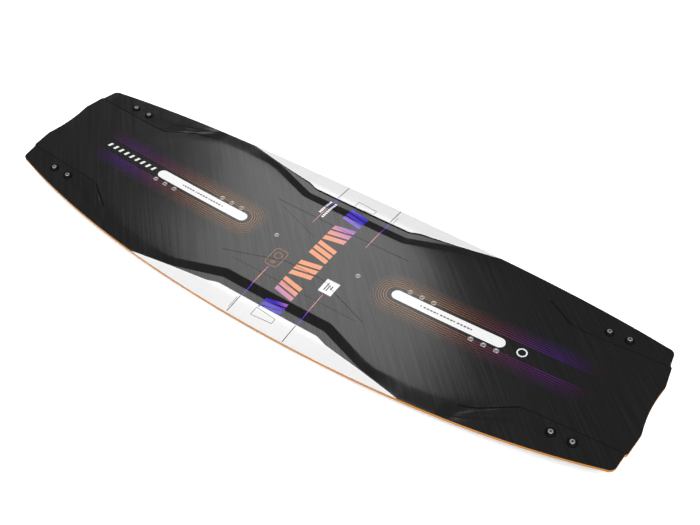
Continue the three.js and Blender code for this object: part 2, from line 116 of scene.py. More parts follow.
# The least distance from each line to the edge, and to the line inside it.
FOOT_TO_EDGE = 1.6
BAND_TO_EDGE = 0.8
CREST_TO_EDGE = 0.3
FOOT_TO_WALL = 0.3
WALL_TO_BAND = 0.2
BAND_TO_CREST = 0.1
WALL_WIDTH = 0.9
FILLET = 0.3
SHOULDER_FILLET = 2.0
FILLET_CHANGE = (370.0, 430.0)
CREST_FILLET = 0.08

# The tip: a shallow scoop between two points, a raised tongue, and a rounded corner.
SCOOP_HALF_WIDTH = 55.0
SCOOP_DEPTH = 5.0
SCOOP_STEPS = 8
TONGUE_EDGE = 102.0
TONGUE_STEP_HALF_WIDTH = 1.5
TONGUE_SET_BACK = 5.0
SHOULDER_SET_BACK = 8.5
CORNER_SET_BACK = 11.0
TIP_WARP_START = 600.0
TIP_ROW = HALF_LENGTH - CORNER_SET_BACK
CORNER_RADIUS = 14.0
CORNER_START = TIP_ROW - CORNER_RADIUS

# The grids over the board. DECK_COUNTS has the columns between neighbouring long lines, each
# with the places beside its fillets, from the centre line to the edge.
ROW_STEP = 4.0
CORNER_STEPS = 10
DECK_COUNTS = (14, 5, 4, 4, 5, 6, 3, 3, 7)
BASE_COLUMNS = 25
COLUMN_GAP = 0.12

RIM = 0.5
RAIL_WIDTH = 9.0
RAIL_REBATE = 3.0
RAIL_ROUND = 0.6
RAIL_LIP = 0.25
RAIL_LIP_DROP = 0.15
RAIL_SAG = 0.9
TIGHT = 0.05
SHARP_ANGLE = 35

# ---- Small helpers


def along(line, x):
    xs, ys = zip(*line)
    return np.interp(x, xs, ys)


def eased(line, x):
    """The line's value with its corners rounded: a weighted average over a short stretch."""
    return sum(w * along(line, np.abs(x + CORNER_EASE * s)) for s, w in LINE_EASE)


def lerp(a, b, t):
    return a + (b - a) * t


def smooth_min(a, b, width):
    """The lower of two heights, blended over a width where they meet."""
    h = np.clip(0.5 + 0.5 * (b - a) / width, 0, 1)
    return lerp(b, a, h) - width * h * (1 - h)


def smooth_max(a, b, width):
    return -smooth_min(-a, -b, width)


def smooth_step(t):
    t = np.clip(t, 0, 1)
    return t * t * (3 - 2 * t)


# ---- The board's surfaces


def half_width(x):
    t = np.abs(x) / HALF_LENGTH
    return HALF_WIDTH - SIDE_BOW * t ** 2 - SIDE_BOW_FOURTH * t ** 4


CORNER_CENTRE_Y = float(half_width(CORNER_START)) - CORNER_RADIUS


def base_edge_height(x):
    return BASE_HEIGHT + BASE_ROCKER * (x / HALF_LENGTH) ** 2


def base_height(x, y):
    t = x / HALF_LENGTH
    across = y / half_width(np.minimum(np.abs(x), CORNER_START))
    return base_edge_height(x) + BASE_CONCAVE * (1 - t ** 2) * (1 - across ** 2)


def rail_top_height(x):
    return base_edge_height(x) + EDGE_THICKNESS - EDGE_TAPER * (x / HALF_LENGTH) ** 2


def plateau_height(x, y):
    t = x / HALF_LENGTH
    return (DECK_HEIGHT + DECK_ROCKER * t ** 2
            - DECK_CROWN * (1 - t ** 2) * (y / CROWN_HALF_WIDTH) ** 2)


def deck_lines(x, edge):
    """The y of the deck's long lines where they cross x, given the y of the edge there."""
    plateau = eased(PLATEAU_EDGE, x)
    foot = np.minimum(eased(BEVEL_FOOT, x), edge - FOOT_TO_EDGE)
    band = np.minimum(eased(BAND_EDGE, x), edge - BAND_TO_EDGE)
    wall = np.maximum(band - WALL_WIDTH, foot + FOOT_TO_WALL)
    band = np.maximum(band, wall + WALL_TO_BAND)
    crest = np.clip(eased(BAND_CREST, x), band + BAND_TO_CREST, edge - CREST_TO_EDGE)
    fade = smooth_step((x - BAND_END) / BAND_FADE)
    faded = [lerp(line, lerp(foot, edge, share), fade)
             for line, share in ((wall, 0.25), (band, 0.5), (crest, 0.75))]
    return plateau, foot, *faded


def deck_height(x, y):
    """The height of the finished deck at any place on the board."""
    x, y = np.abs(x), np.abs(y)
    edge = half_width(np.minimum(x, CORNER_START))
    plateau, foot, wall, band, crest = deck_lines(x, edge)
    rail_top = rail_top_height(x)
    foot_z, channel_z, band_z, crest_z = (rail_top + eased(rise, x) for rise in RISES)
    low, high = FILLET_CHANGE
    fillet = lerp(FILLET, SHOULDER_FILLET, smooth_step((x - low) / (high - low)))
    bevel = lerp(plateau_height(x, plateau), foot_z, (y - plateau) / (foot - plateau))
    raised = smooth_min(plateau_height(x, y), bevel, fillet)
    floor = lerp(foot_z, channel_z, np.clip((y - foot) / np.maximum(wall - foot, 0.1), 0, 1))
    inner = smooth_max(raised, floor, fillet)
    strip = lerp(band_z, crest_z, (y - band) / (crest - band))
    shelf = lerp(crest_z, rail_top, (y - crest) / (edge - crest))
    outer = smooth_min(strip, shelf, CREST_FILLET)
    return lerp(inner, outer, smooth_step((y - wall) / (band - wall)))


def tip_outline(y):
    """How far the tip reaches at y, with its corners rounded."""
    shares = [k / SCOOP_STEPS for k in range(SCOOP_STEPS + 1)]
    tip = [(SCOOP_HALF_WIDTH * t, HALF_LENGTH - SCOOP_DEPTH * (1 - t ** 2)) for t in shares]
    tip += [(TONGUE_EDGE - TONGUE_STEP_HALF_WIDTH, HALF_LENGTH - TONGUE_SET_BACK),
            (TONGUE_EDGE + TONGUE_STEP_HALF_WIDTH, HALF_LENGTH - SHOULDER_SET_BACK),
            (CORNER_CENTRE_Y, TIP_ROW)]
    return sum(w * along(tip, np.abs(np.abs(y) + s)) for s, w in TIP_EASE)


# ---- Grids over the board


def quarter_rows(inset):
    """Each row's x and its edge's y, for a board that stops short of the outline by an inset."""
    straight = np.linspace(0, CORNER_START, int(CORNER_START / ROW_STEP) + 1)
    angles = np.linspace(0, math.pi / 2, CORNER_STEPS + 1)[1:]
    radius = CORNER_RADIUS - inset
    xs = np.concatenate([straight, CORNER_START + radius * np.sin(angles)])
    edges = np.concatenate([half_width(straight) - inset,
                            CORNER_CENTRE_Y + radius * np.cos(angles)])
    return xs, edges


def deck_columns(xs, edges):
    """Places across each row, closest together along the deck's fillets and walls."""
    plateau, foot, wall, band, crest = deck_lines(xs, edges)
    bevel = np.minimum(2.2, 0.4 * (foot - plateau))
    channel = np.minimum(2.0, 0.3 * (wall - foot))
    lip = np.minimum(1.0, 0.3 * (crest - band))
    stops = [np.zeros_like(xs), plateau - bevel, plateau + bevel, foot - bevel, foot + channel,
             wall, band, band + lip, crest, edges]
    columns = [stops[0]]
    for low, high, count in zip(stops, stops[1:], DECK_COUNTS):
        columns += [lerp(low, high, k / count) for k in range(1, count + 1)]
    stacked = np.stack(columns, axis=1)
    limit = edges[:, None] - COLUMN_GAP * np.arange(stacked.shape[1])[::-1][None, :]
    return np.minimum(stacked, limit)


def even_columns(xs, edges):
    return edges[:, None] * np.linspace(0, 1, BASE_COLUMNS)[None, :]


def board_grid(inset, columns):
    """X and Y of a grid over the whole board, row by row from the -X tip to the +X tip."""
    xs, edges = quarter_rows(inset)
    across = columns(xs, edges)
    past = np.maximum(0, xs - TIP_WARP_START) / (TIP_ROW - TIP_WARP_START)
    reach = xs[:, None] + past[:, None] ** 2 * (tip_outline(across) - TIP_ROW)
    x_half = np.concatenate([reach[:, :0:-1], reach], axis=1)
    y_half = np.concatenate([-across[:, :0:-1], across], axis=1)
    return (np.concatenate([-x_half[:0:-1], x_half]), np.concatenate([y_half[:0:-1], y_half]))


def loop_of(grid):
    """A grid's boundary, counter-clockwise seen from above, from the -X, -Y corner."""
    return np.concatenate([grid[:, 0], grid[-1, 1:], grid[-2::-1, -1], grid[0, -2:0:-1]])


# ---- Meshes


def linked(name, data):
    """A new object in the scene."""
    holder = bpy.data.objects.new(name, data)
    bpy.context.scene.collection.objects.link(holder)
    return holder


def new_piece(name, mesh, replaced=None, matrix=None):
    """A visible piece of the board, fixed to its one body."""
    piece = linked(name, mesh)
    if matrix:
        piece.matrix_world = matrix
    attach(piece, "root")
    if replaced:
        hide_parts(replaced)
    return piece


def shade(mesh, sharp=SHARP_ANGLE):
    """Shades a mesh smooth, but for the edges that turn by more than an angle."""
    mesh.polygons.foreach_set("use_smooth", [True] * len(mesh.polygons))
    mesh.set_sharp_from_angle(angle=math.radians(sharp))


def mesh_from(name, points, faces, sharp=SHARP_ANGLE):
    mesh = bpy.data.meshes.new(name)
    mesh.from_pydata((np.asarray(points, float) * MM).tolist(), [], faces)
    shade(mesh, sharp)
    mesh.validate()
    return mesh


def grid_faces(rows, columns, start=0, flip=False):
    faces = []
    for i in range(rows - 1):
        for j in range(columns - 1):
            a = start + i * columns + j
            face = (a, a + columns, a + columns + 1, a + 1)
            faces.append(face[::-1] if flip else face)
    return faces


def band_faces(first, second):
    """Quads between two closed rings of point numbers; the second ring lies outside or below."""
    count = len(first)
    return [(first[k], second[k], second[(k + 1) % count], first[(k + 1) % count])
            for k in range(count)]


def board_shell(columns, rim, top_at, bottom_at, inset):
    """A closed sheet over the board: a top grid, a rim of [inset, drop] rings and a bottom
    grid."""
    x, y = board_grid(inset, columns)
    rows, across = x.shape
    top = np.stack([x, y, top_at(x, y)], axis=-1).reshape(-1, 3)
    numbers = np.arange(rows * across).reshape(rows, across)
    ring = loop_of(numbers).tolist()
    points = [top]
    faces = grid_faces(rows, across)
    for rim_inset, drop in rim:
        rim_x, rim_y = (loop_of(g) for g in board_grid(rim_inset, columns))
        height = top_at(rim_x, rim_y) - drop
        start = sum(len(p) for p in points)
        points.append(np.stack([rim_x, rim_y, height], axis=-1))
        next_ring = list(range(start, start + len(ring)))
        faces += band_faces(ring, next_ring)
        ring = next_ring
    start = sum(len(p) for p in points)
    points.append(np.stack([x, y, bottom_at(x, y)], axis=-1).reshape(-1, 3))
    faces += band_faces(ring, (loop_of(numbers) + start).tolist())
    faces += grid_faces(rows, across, start, flip=True)
    return np.concatenate(points), faces


def combined(mesh, other, operation, solver):
    """A closed mesh with another cut out of it or joined to it."""
    piece, tool = linked("piece", mesh), linked("tool", other)
    boolean = piece.modifiers.new("boolean", "BOOLEAN")
    boolean.object = tool
    boolean.operation = operation
    boolean.solver = solver
    graph = bpy.context.evaluated_depsgraph_get()
    result = bpy.data.meshes.new_from_object(piece.evaluated_get(graph))
    bpy.data.objects.remove(piece)
    bpy.data.objects.remove(tool)
    shade(result)
    return result


def turned(profile, sides):
    """Points and faces of a lathe solid about Z. The profile runs down the outside from the
    axis or, for a ring, all the way round."""
    closed = profile[0][0] > 0
    rings = []
    points = []
    faces = []
    for radius, height in profile:
        if radius == 0:
            rings.append([len(points)] * sides)
            points.append((0, 0, height))
            continue
        rings.append(list(range(len(points), len(points) + sides)))
        for k in range(sides):
            angle = 2 * math.pi * k / sides
            points.append((radius * math.cos(angle), radius * math.sin(angle), height))
    pairs = list(zip(rings, rings[1:]))
    if closed:
        pairs.append((rings[-1], rings[0]))
    for first, second in pairs:
        for face in band_faces(first, second):
            corners = list(dict.fromkeys(face))
            if len(corners) > 2:
                faces.append(corners)
    return points, faces


def thin_sheet(x, y, lift, tint):
    """Points, faces and colours of a closed sheet of ink, or of painted shade, lying on the deck
    over a grid.
    """
    rows, across = x.shape
    on_deck = deck_height(x, y)
    top = np.stack([x, y, on_deck + lift], axis=-1).reshape(-1, 3)
    under = np.stack([x, y, on_deck - INK_SOAK], axis=-1).reshape(-1, 3)
    count = rows * across
    numbers = np.arange(count).reshape(rows, across)
    ring = loop_of(numbers).tolist()
    faces = grid_faces(rows, across) + grid_faces(rows, across, count, flip=True)
    faces += band_faces(ring, [k + count for k in ring])
    colours = np.concatenate([tint.reshape(-1, 3)] * 2)
    return np.concatenate([top, under]), faces, colours


# ---- Materials

ALONG, ACROSS, UP = (1, 0, 0), (0, 1, 0), (0, 0, 1)
NOISE_DETAIL = 3.0
NOISE_ROUGHNESS = 0.55


def add_node(tree, kind, inputs=(), **settings):
    """A new node; each input is a constant or the socket that feeds it."""
    made = tree.nodes.new(kind)
    for key, value in settings.items():
        setattr(made, key, value)
    for key, value in dict(inputs).items():
        if isinstance(value, bpy.types.NodeSocket):
            tree.links.new(value, made.inputs[key])
        else:
            made.inputs[key].default_value = value
    return made


def grey(level):
    return level, level, level


def opaque(colour):
    return colour if isinstance(colour, bpy.types.NodeSocket) else (*colour, 1.0)


class Surface:
    """A Principled material and short ways to add nodes to it."""

    def __init__(self, name, **constants):
        self.material = bpy.data.materials.new(name)
        self.material.use_nodes = True
        self.tree = self.material.node_tree
        self.shader = self.tree.nodes["Principled BSDF"]
        for socket, value in constants.items():
            self.shader.inputs[socket.replace("_", " ")].default_value = value
        self.place = self.node("ShaderNodeTexCoord").outputs["Object"]

    def node(self, kind, inputs=(), **settings):
        return add_node(self.tree, kind, inputs, **settings)

    def math(self, operation, a, b=0.0):
        return self.node("ShaderNodeMath", {0: a, 1: b}, operation=operation).outputs[0]

    def dot(self, direction):
        made = self.node("ShaderNodeVectorMath", {0: self.place, 1: direction},
                         operation="DOT_PRODUCT")
        return made.outputs["Value"]

    def tint(self):
        """The colour that each point of a printed sheet, or of a sheet of painted shade, carries.
        """
        return self.node("ShaderNodeAttribute", attribute_name="tint").outputs["Color"]

    def noise(self, scale, place=None, detail=NOISE_DETAIL):
        made = self.node("ShaderNodeTexNoise", {"Vector": place or self.place, "Scale": scale,
                                                "Detail": detail, "Roughness": NOISE_ROUGHNESS})
        return made.outputs["Fac"]

    def squeezed(self, *scaled_directions):
        """Noise with a scale of its own along each of three directions."""
        lengths = [self.math("MULTIPLY", self.dot(direction), scale)
                   for direction, scale in scaled_directions]
        place = self.node("ShaderNodeCombineXYZ", dict(enumerate(lengths))).outputs[0]
        return self.noise(1.0, place)

    def stretched(self, direction, along_scale, across_scale):
        """Noise drawn out along a direction in the XY plane."""
        turn = (-direction[1], direction[0], 0)
        return self.squeezed((direction, along_scale), (turn, across_scale), (UP, 1.0))

    def spread(self, factor, low, high, from_low=0.3, from_high=0.7):
        """A factor's middle range drawn out to a range of numbers."""
        made = self.node("ShaderNodeMapRange", {"Value": factor, "From Min": from_low,
                                                "From Max": from_high, "To Min": low,
                                                "To Max": high})
        return made.outputs["Result"]

    def mix(self, factor, a, b):
        made = self.node("ShaderNodeMix", {0: factor, 6: opaque(a), 7: opaque(b)},
                         data_type="RGBA")
        return made.outputs[2]

    def two_tones(self, fleck, dark, light, grain, roughness):
        """A colour that varies with one noise and a roughness that varies with another."""
        self.set(Base_Color=self.mix(self.spread(fleck, 0, 1), dark, light),
                 Roughness=self.spread(grain, *roughness))

    def lacquer(self, fibre, relief):
        """The gloss over the fibres, and how far they stand out in it."""
        self.set(Roughness=self.spread(fibre, *DECK_ROUGHNESS))
        self.bump(fibre, relief, 0.0002)

    def set(self, **sockets):
        for key, value in sockets.items():
            self.tree.links.new(value, self.shader.inputs[key.replace("_", " ")])

    def bump(self, height, strength, distance):
        made = self.node("ShaderNodeBump", {"Height": height, "Strength": strength,
                                            "Distance": distance})
        self.set(Normal=made.outputs["Normal"])


STREAK = (math.sqrt(0.5), -math.sqrt(0.5), 0)
STREAK_ALONG = 5.0
STREAK_ACROSS = 320.0
DECK_ROUGHNESS = (0.122, 0.143)


def streaks(surface):
    """The unidirectional fibres, as fine streaks."""
    return surface.stretched(STREAK, STREAK_ALONG, STREAK_ACROSS)


def carbon_material():
    deck = Surface("carbon_cloth")
    fibre = streaks(deck)
    bright = deck.spread(fibre, 0.0, 1.0, 0.42, 0.68)
    deck.set(Base_Color=deck.mix(bright, (0.0084, 0.0084, 0.0086), (0.0116, 0.0116, 0.0120)),
             Specular_IOR_Level=deck.spread(fibre, 0.42, 0.58, 0.35, 0.65))
    deck.lacquer(fibre, 0.03)
    return deck.material


def band_material(name, white):
    band = Surface(name)
    mottle = band.noise(90.0)
    fibre = streaks(band)
    tone = band.mix(band.spread(mottle, 0, 1), grey(white - 0.02), grey(white))
    band.set(Base_Color=band.mix(band.spread(fibre, 0.0, 0.02), tone, (0.6, 0.6, 0.61)))
    band.lacquer(fibre, 0.02)
    return band.material


def ink_material():
    ink = Surface("printed_ink")
    fibre = streaks(ink)
    show_through = ink.spread(fibre, 0.0, 0.06, 0.35, 0.65)
    ink.set(Base_Color=ink.mix(show_through, ink.tint(), grey(0.01)))
    ink.lacquer(fibre, 0.03)
    return ink.material


def crease_material():
    """The shadow in a pressed line: matt black, so that it stays dark in the lit deck."""
    crease = Surface("crease_shadow", Specular_IOR_Level=0.0)
    grime = crease.noise(220.0)
    dust = crease.spread(grime, 0, 0.3)
    crease.set(Base_Color=crease.mix(dust, crease.tint(), grey(0.012)),
               Roughness=crease.spread(grime, 0.8, 0.95))
    crease.bump(grime, 0.2, 0.0001)
    return crease.material


# The bars across the underside: [inner side, outer side, colour], in metres along the slant.
BASE_SLANT = 0.55
BASE_BARS = ((0.21, 0.215, grey(0.78)), (0.23, 0.27, (0.70, 0.27, 0.10)),
             (0.28, 0.30, (0.35, 0.08, 0.30)), (0.31, 0.32, (0.07, 0.04, 0.45)))


def base_material():
    """The underside: black gloss sheet with a thin white line and three bars at each end."""
    base = Surface("base_gloss", Coat_Weight=0.3, Coat_Roughness=0.08)
    x, y = (base.math("ABSOLUTE", base.dot(axis)) for axis in (ALONG, ACROSS))
    slant = base.math("ADD", x, base.math("MULTIPLY", y, BASE_SLANT))
    wear = base.stretched(ALONG, 9.0, 420.0)
    colour = base.mix(base.spread(wear, 0, 1), (0.008, 0.008, 0.009), (0.016, 0.016, 0.018))
    for low, high, paint in BASE_BARS:
        inside = base.math("MULTIPLY", base.math("GREATER_THAN", slant, low),
                           base.math("LESS_THAN", slant, high))
        colour = base.mix(inside, colour, paint)
    base.set(Base_Color=colour, Roughness=base.spread(wear, 0.18, 0.32))
    base.bump(wear, 0.05, 0.0001)
    return base.material


def rail_material():
    rail = Surface("orange_abs", Specular_IOR_Level=0.25)
    sanding = rail.squeezed((ALONG, 25.0), (ACROSS, 25.0), (UP, 2500.0))
    rail.two_tones(sanding, (0.37, 0.143, 0.010), (0.42, 0.166, 0.014),
                   rail.noise(900.0), (0.38, 0.55))
    rail.bump(sanding, 0.15, 0.0002)
    return rail.material


def metal_material(name, dark, light, roughness):
    """Turned metal, with fine rings round each part's own axis."""
    metal = Surface(name, Metallic=1.0)
    scratch = metal.squeezed((ALONG, 900.0), (ACROSS, 900.0), (UP, 4000.0))
    metal.two_tones(scratch, dark, light, scratch, roughness)
    metal.bump(scratch, 0.1, 0.0001)
    return metal.material


def moulded_material(name, dark, light, roughness, gloss):
    """Moulded plastic: a fine spark-eroded grain with faint flow marks."""
    moulded = Surface(name, Specular_IOR_Level=gloss)
    grain = moulded.noise(1600.0, detail=2.0)
    moulded.two_tones(moulded.noise(45.0), dark, light, grain, roughness)
    moulded.bump(grain, 0.25, 0.0001)
    return moulded.material


def wood_material():
    wood = Surface("core_wood")
    grain = wood.stretched(ALONG, 4.0, 260.0)
    strip = wood.math("FRACT", wood.math("MULTIPLY", wood.dot(ACROSS), 40.0))
    joint = wood.math("LESS_THAN", strip, 0.03)
    timber = wood.mix(wood.spread(grain, 0, 1), (0.42, 0.26, 0.11), (0.66, 0.46, 0.24))
    wood.set(Base_Color=wood.mix(joint, timber, (0.22, 0.12, 0.05)),
             Roughness=wood.spread(grain, 0.6, 0.8))
    wood.bump(grain, 0.2, 0.0003)
    return wood.material


CARBON = carbon_material()
WHITE_PRINT = band_material("white_print", 0.71)
# The shelf past each crest takes a darker copy of the white print: painted shade on its slope to
# the rail.
SHADED_SHELF_PRINT = band_material("shelf_print", 0.68)
INK = ink_material()
CREASE = crease_material()
BASE_GLOSS = base_material()
ORANGE_ABS = rail_material()
STAINLESS = metal_material("stainless", (0.36, 0.36, 0.365), grey(0.50), (0.4, 0.55))
# Near-black metal for the screws' sockets: painted shade in the recess.
SOCKET_SHADE = metal_material("socket_grime", grey(0.03), grey(0.06), (0.5, 0.7))
INSERT_STEEL = metal_material("insert_steel", (0.46, 0.46, 0.465), grey(0.60), (0.5, 0.65))
BRASS = metal_material("brass", (0.50, 0.34, 0.10), (0.66, 0.48, 0.18), (0.25, 0.4))
NYLON = moulded_material("black_nylon", grey(0.0015), grey(0.0035), (0.5, 0.65), 0.08)
FIN_NYLON = moulded_material("fin_nylon", (0.010, 0.010, 0.011), (0.020, 0.020, 0.021),
                             (0.35, 0.5), 0.5)
CORE_WOOD = wood_material()

for node_name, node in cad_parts.items():
    if node_name == "wood_core" or node_name.startswith("fin_nut"):
        node.data.materials.clear()
        node.data.materials.append(CORE_WOOD if node_name == "wood_core" else BRASS)

# ---- Inserts, washers and screws

INSERT_RADIUS = 5.5
INSERT_FLANGE_RADIUS = 7.5
INSERT_HEIGHT = 7.0
FLANGE_HEIGHT = 1.0
INSERT_BORE = 2.5
INSERT_BORE_DEPTH = 5.8
THREAD_PITCH = 1.0
THREAD_DEPTH = 0.35
ROUND_SIDES = 64
WASHER_RADIUS = 9.3
WASHER_HEIGHT = 3.9
WASHER_RIM_TOP = 0.9
WASHER_SEAT = 1.7
DOME_STEPS = 8
HEAD_RADIUS = 4.5
HOLE_RADIUS = 3.3
SHANK_RADIUS = 2.8
SHANK_LENGTH = 16.2
HEAD_BOTTOM = 2.05
HEAD_TOP = 4.25
HEAD_ROUND = 0.5
HEAD_STEPS = 6
PLAIN_SHANK = 3.0
SOCKET_RADIUS = 2.1
SOCKET_DEPTH = 1.8

node_names = sorted(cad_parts)
insert_nodes = [n for n in node_names if "_insert_" in n]
screw_nodes = [n for n in node_names if n.startswith("fin_screw")]
washer_nodes = [n for n in node_names if n.startswith("fin_washer")]
fin_nodes = [n for n in node_names if n.startswith("fin_") and n.count("_") == 2]


def middle(name):
    low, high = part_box(name)
    return (low + high) / 2 / MM


def insert_matrix(name):
    """Square to the deck and flush with it. A CAD insert's box is centred on its flange."""
    centre = middle(name)
    tilt = math.atan(2 * DECK_ROCKER * centre.x / HALF_LENGTH ** 2)
    x = centre.x - (INSERT_HEIGHT - FLANGE_HEIGHT / 2) * math.sin(tilt)
    z = float(plateau_height(x, centre.y))
    return Matrix.Translation(Vector((x, centre.y, z)) * MM) @ Matrix.Rotation(-tilt, 4, "Y")


def washer_matrix(name):
    """Flat on the deck over the middle of its CAD washer."""
    centre = middle(name)
    x, y = centre.x, centre.y
    step = WASHER_RADIUS
    here = float(deck_height(x, y))
    along_x = float(deck_height(x + step, y) - deck_height(x - step, y)) / (2 * step)
    along_y = float(deck_height(x, y + step) - deck_height(x, y - step)) / (2 * step)
    turn = Vector((0, 0, 1)).rotation_difference(Vector((-along_x, -along_y, 1)))
    return Matrix.Translation(Vector((x, y, here)) * MM) @ turn.to_matrix().to_4x4()


def thread(radius, top, bottom):
    """The V-grooves of a thread down a bore, as rings."""
    places = []
    height = top
    while height - THREAD_PITCH > bottom:
        places += [(radius, height), (radius + THREAD_DEPTH, height - THREAD_PITCH / 2)]
        height -= THREAD_PITCH
    return places + [(radius, height)]


def insert_mesh():
    bore = thread(INSERT_BORE, -0.5, -INSERT_BORE_DEPTH + 0.3)
    profile = [(0, -INSERT_BORE_DEPTH - 0.9), (INSERT_BORE - 0.3, -INSERT_BORE_DEPTH)]
    profile += bore[::-1]
    profile += [(INSERT_BORE + 0.45, -0.12), (INSERT_BORE + 0.6, 0.0), (INSERT_RADIUS - 0.5, 0.0),
                (INSERT_RADIUS - 0.32, -0.04), (INSERT_RADIUS, -0.3),
                (INSERT_RADIUS, FLANGE_HEIGHT - INSERT_HEIGHT),
                (INSERT_FLANGE_RADIUS, FLANGE_HEIGHT - INSERT_HEIGHT),
                (INSERT_FLANGE_RADIUS, 0.15 - INSERT_HEIGHT),
                (INSERT_FLANGE_RADIUS - 0.15, -INSERT_HEIGHT), (0, -INSERT_HEIGHT)]
    return mesh_from("insert", *turned(profile, ROUND_SIDES))


def quarter_round(steps):
    """[sine, cosine] at even steps over a quarter turn."""
    return [(math.sin(turn), math.cos(turn)) for turn in np.linspace(0, math.pi / 2, steps + 1)]


def washer_mesh():
    """A cup washer: a rim, a domed shoulder and a counterbored seat for the screw's head."""
    seat = HEAD_RADIUS + 0.2
    dome = [(lerp(seat + 0.55, WASHER_RADIUS - 0.15, out), lerp(WASHER_RIM_TOP, WASHER_HEIGHT, up))
            for out, up in quarter_round(DOME_STEPS)]
    profile = [(seat, WASHER_HEIGHT - 0.15), (seat + 0.15, WASHER_HEIGHT), *dome,
               (WASHER_RADIUS, 0.6), (WASHER_RADIUS, 0.12), (WASHER_RADIUS - 0.12, 0.0),
               (HOLE_RADIUS, 0.0), (HOLE_RADIUS, WASHER_SEAT), (seat, WASHER_SEAT)]
    return mesh_from("washer", *turned(profile, ROUND_SIDES), sharp=40)


def screw_mesh():
    """A low-head screw with a domed top, cut by a hexagon socket."""
    crown = [(HEAD_RADIUS + HEAD_ROUND * (out - 1), HEAD_TOP + HEAD_ROUND * (up - 1))
             for out, up in quarter_round(HEAD_STEPS)]
    bottom = HEAD_BOTTOM - SHANK_LENGTH
    shank = [(SHANK_RADIUS, HEAD_BOTTOM)]
    height = HEAD_BOTTOM - PLAIN_SHANK
    while height > bottom + 1.5:
        shank += [(SHANK_RADIUS, height), (SHANK_RADIUS - THREAD_DEPTH, height - THREAD_PITCH / 2)]
        height -= THREAD_PITCH
    profile = [(0, HEAD_TOP + 0.06), (2.6, HEAD_TOP + 0.04), *crown,
               (HEAD_RADIUS, HEAD_BOTTOM + 0.15), (HEAD_RADIUS - 0.15, HEAD_BOTTOM), *shank,
               (SHANK_RADIUS - 0.6, bottom), (0, bottom)]
    return mesh_from("screw", *turned(profile, 48))


def socket_cutter():
    floor = HEAD_TOP - SOCKET_DEPTH
    profile = [(0, HEAD_TOP + 1), (SOCKET_RADIUS * 1.45, HEAD_TOP + 1),
               (SOCKET_RADIUS, HEAD_TOP - 0.15), (SOCKET_RADIUS, floor), (0, floor - 0.5)]
    return mesh_from("socket", *turned(profile, 6), sharp=10)


def place_copies(names, ending, mesh, material, matrix_of):
    """Puts one mesh in the place of each of several CAD nodes."""
    mesh.materials.clear()
    mesh.materials.append(material)
    for name in names:
        new_piece(name + ending, mesh, name, matrix_of(name))


def screw_matrix(name):
    return washer_matrix(name.replace("screw", "washer"))


place_copies(insert_nodes, "_turned", insert_mesh(), INSERT_STEEL,
             insert_matrix)
place_copies(washer_nodes, "_turned", washer_mesh(), NYLON, washer_matrix)

socketed = combined(screw_mesh(), socket_cutter(), "DIFFERENCE", "EXACT")
place_copies(screw_nodes, "_turned", socketed, STAINLESS, screw_matrix)
# The socket's faces take the near-black metal: painted shade in the recess.
socketed.materials.append(SOCKET_SHADE)
for face in socketed.polygons:
    x, y, z = face.center / MM
    if math.hypot(x, y) < SOCKET_RADIUS and z > HEAD_BOTTOM:
        face.material_index = 1

# ---- Deck, base and rails


def drills():
    """The holes through the skins for inserts and fin screws, as one mesh of rods."""
    points = []
    faces = []
    jobs = [(insert_matrix(n), INSERT_RADIUS + TIGHT) for n in insert_nodes]
    jobs += [(screw_matrix(n), HOLE_RADIUS) for n in screw_nodes]
    for matrix, radius in jobs:
        rod, rod_faces = turned([(0, 6), (radius, 6), (radius, -12), (0, -12)], ROUND_SIDES)
        start = len(points)
        points += [tuple(matrix @ (Vector(p) * MM) / MM) for p in rod]
        faces += [[start + k for k in face] for face in rod_faces]
    return mesh_from("drills", points, faces)


def make_deck():
    edge = RAIL_LIP + TIGHT
    rim = ((edge + 0.1, 0.08), (edge, 0.25), (edge, SKIN))
    points, faces = board_shell(deck_columns, rim, deck_height,
                                lambda x, y: deck_height(x, y) - SKIN, edge + RIM)
    mesh = mesh_from("deck_shell", points, faces)
    for material in (CARBON, WHITE_PRINT, SHADED_SHELF_PRINT):
        mesh.materials.append(material)
    mesh = combined(mesh, drills(), "DIFFERENCE", "EXACT")
    paint_bands(mesh)
    new_piece("deck_shell", mesh, "deck_laminate")


def paint_bands(mesh):
    """Gives the raised bands outside their walls the white print, and past their crests a darker
    copy of it: painted shade on the shelf."""
    centres = np.empty(len(mesh.polygons) * 3)
    mesh.polygons.foreach_get("center", centres)
    x, y = np.abs(centres.reshape(-1, 3)[:, :2].T / MM)
    edge = half_width(np.minimum(x, CORNER_START))
    _, _, wall, band, crest = deck_lines(x, edge)
    white = (x < BAND_PRINT_END) & (y > lerp(wall, band, 0.75))
    shelf = white & (y > crest)
    mesh.polygons.foreach_set("material_index", white.astype(np.int32) + shelf)


def make_base():
    inset = RAIL_REBATE + TIGHT
    points, faces = board_shell(even_columns, ((inset, SKIN),),
                                lambda x, y: base_height(x, y) + SKIN, base_height, inset)
    mesh = mesh_from("base_shell", points, faces)
    mesh.materials.append(BASE_GLOSS)
    new_piece("base_shell", mesh, "base_laminate")


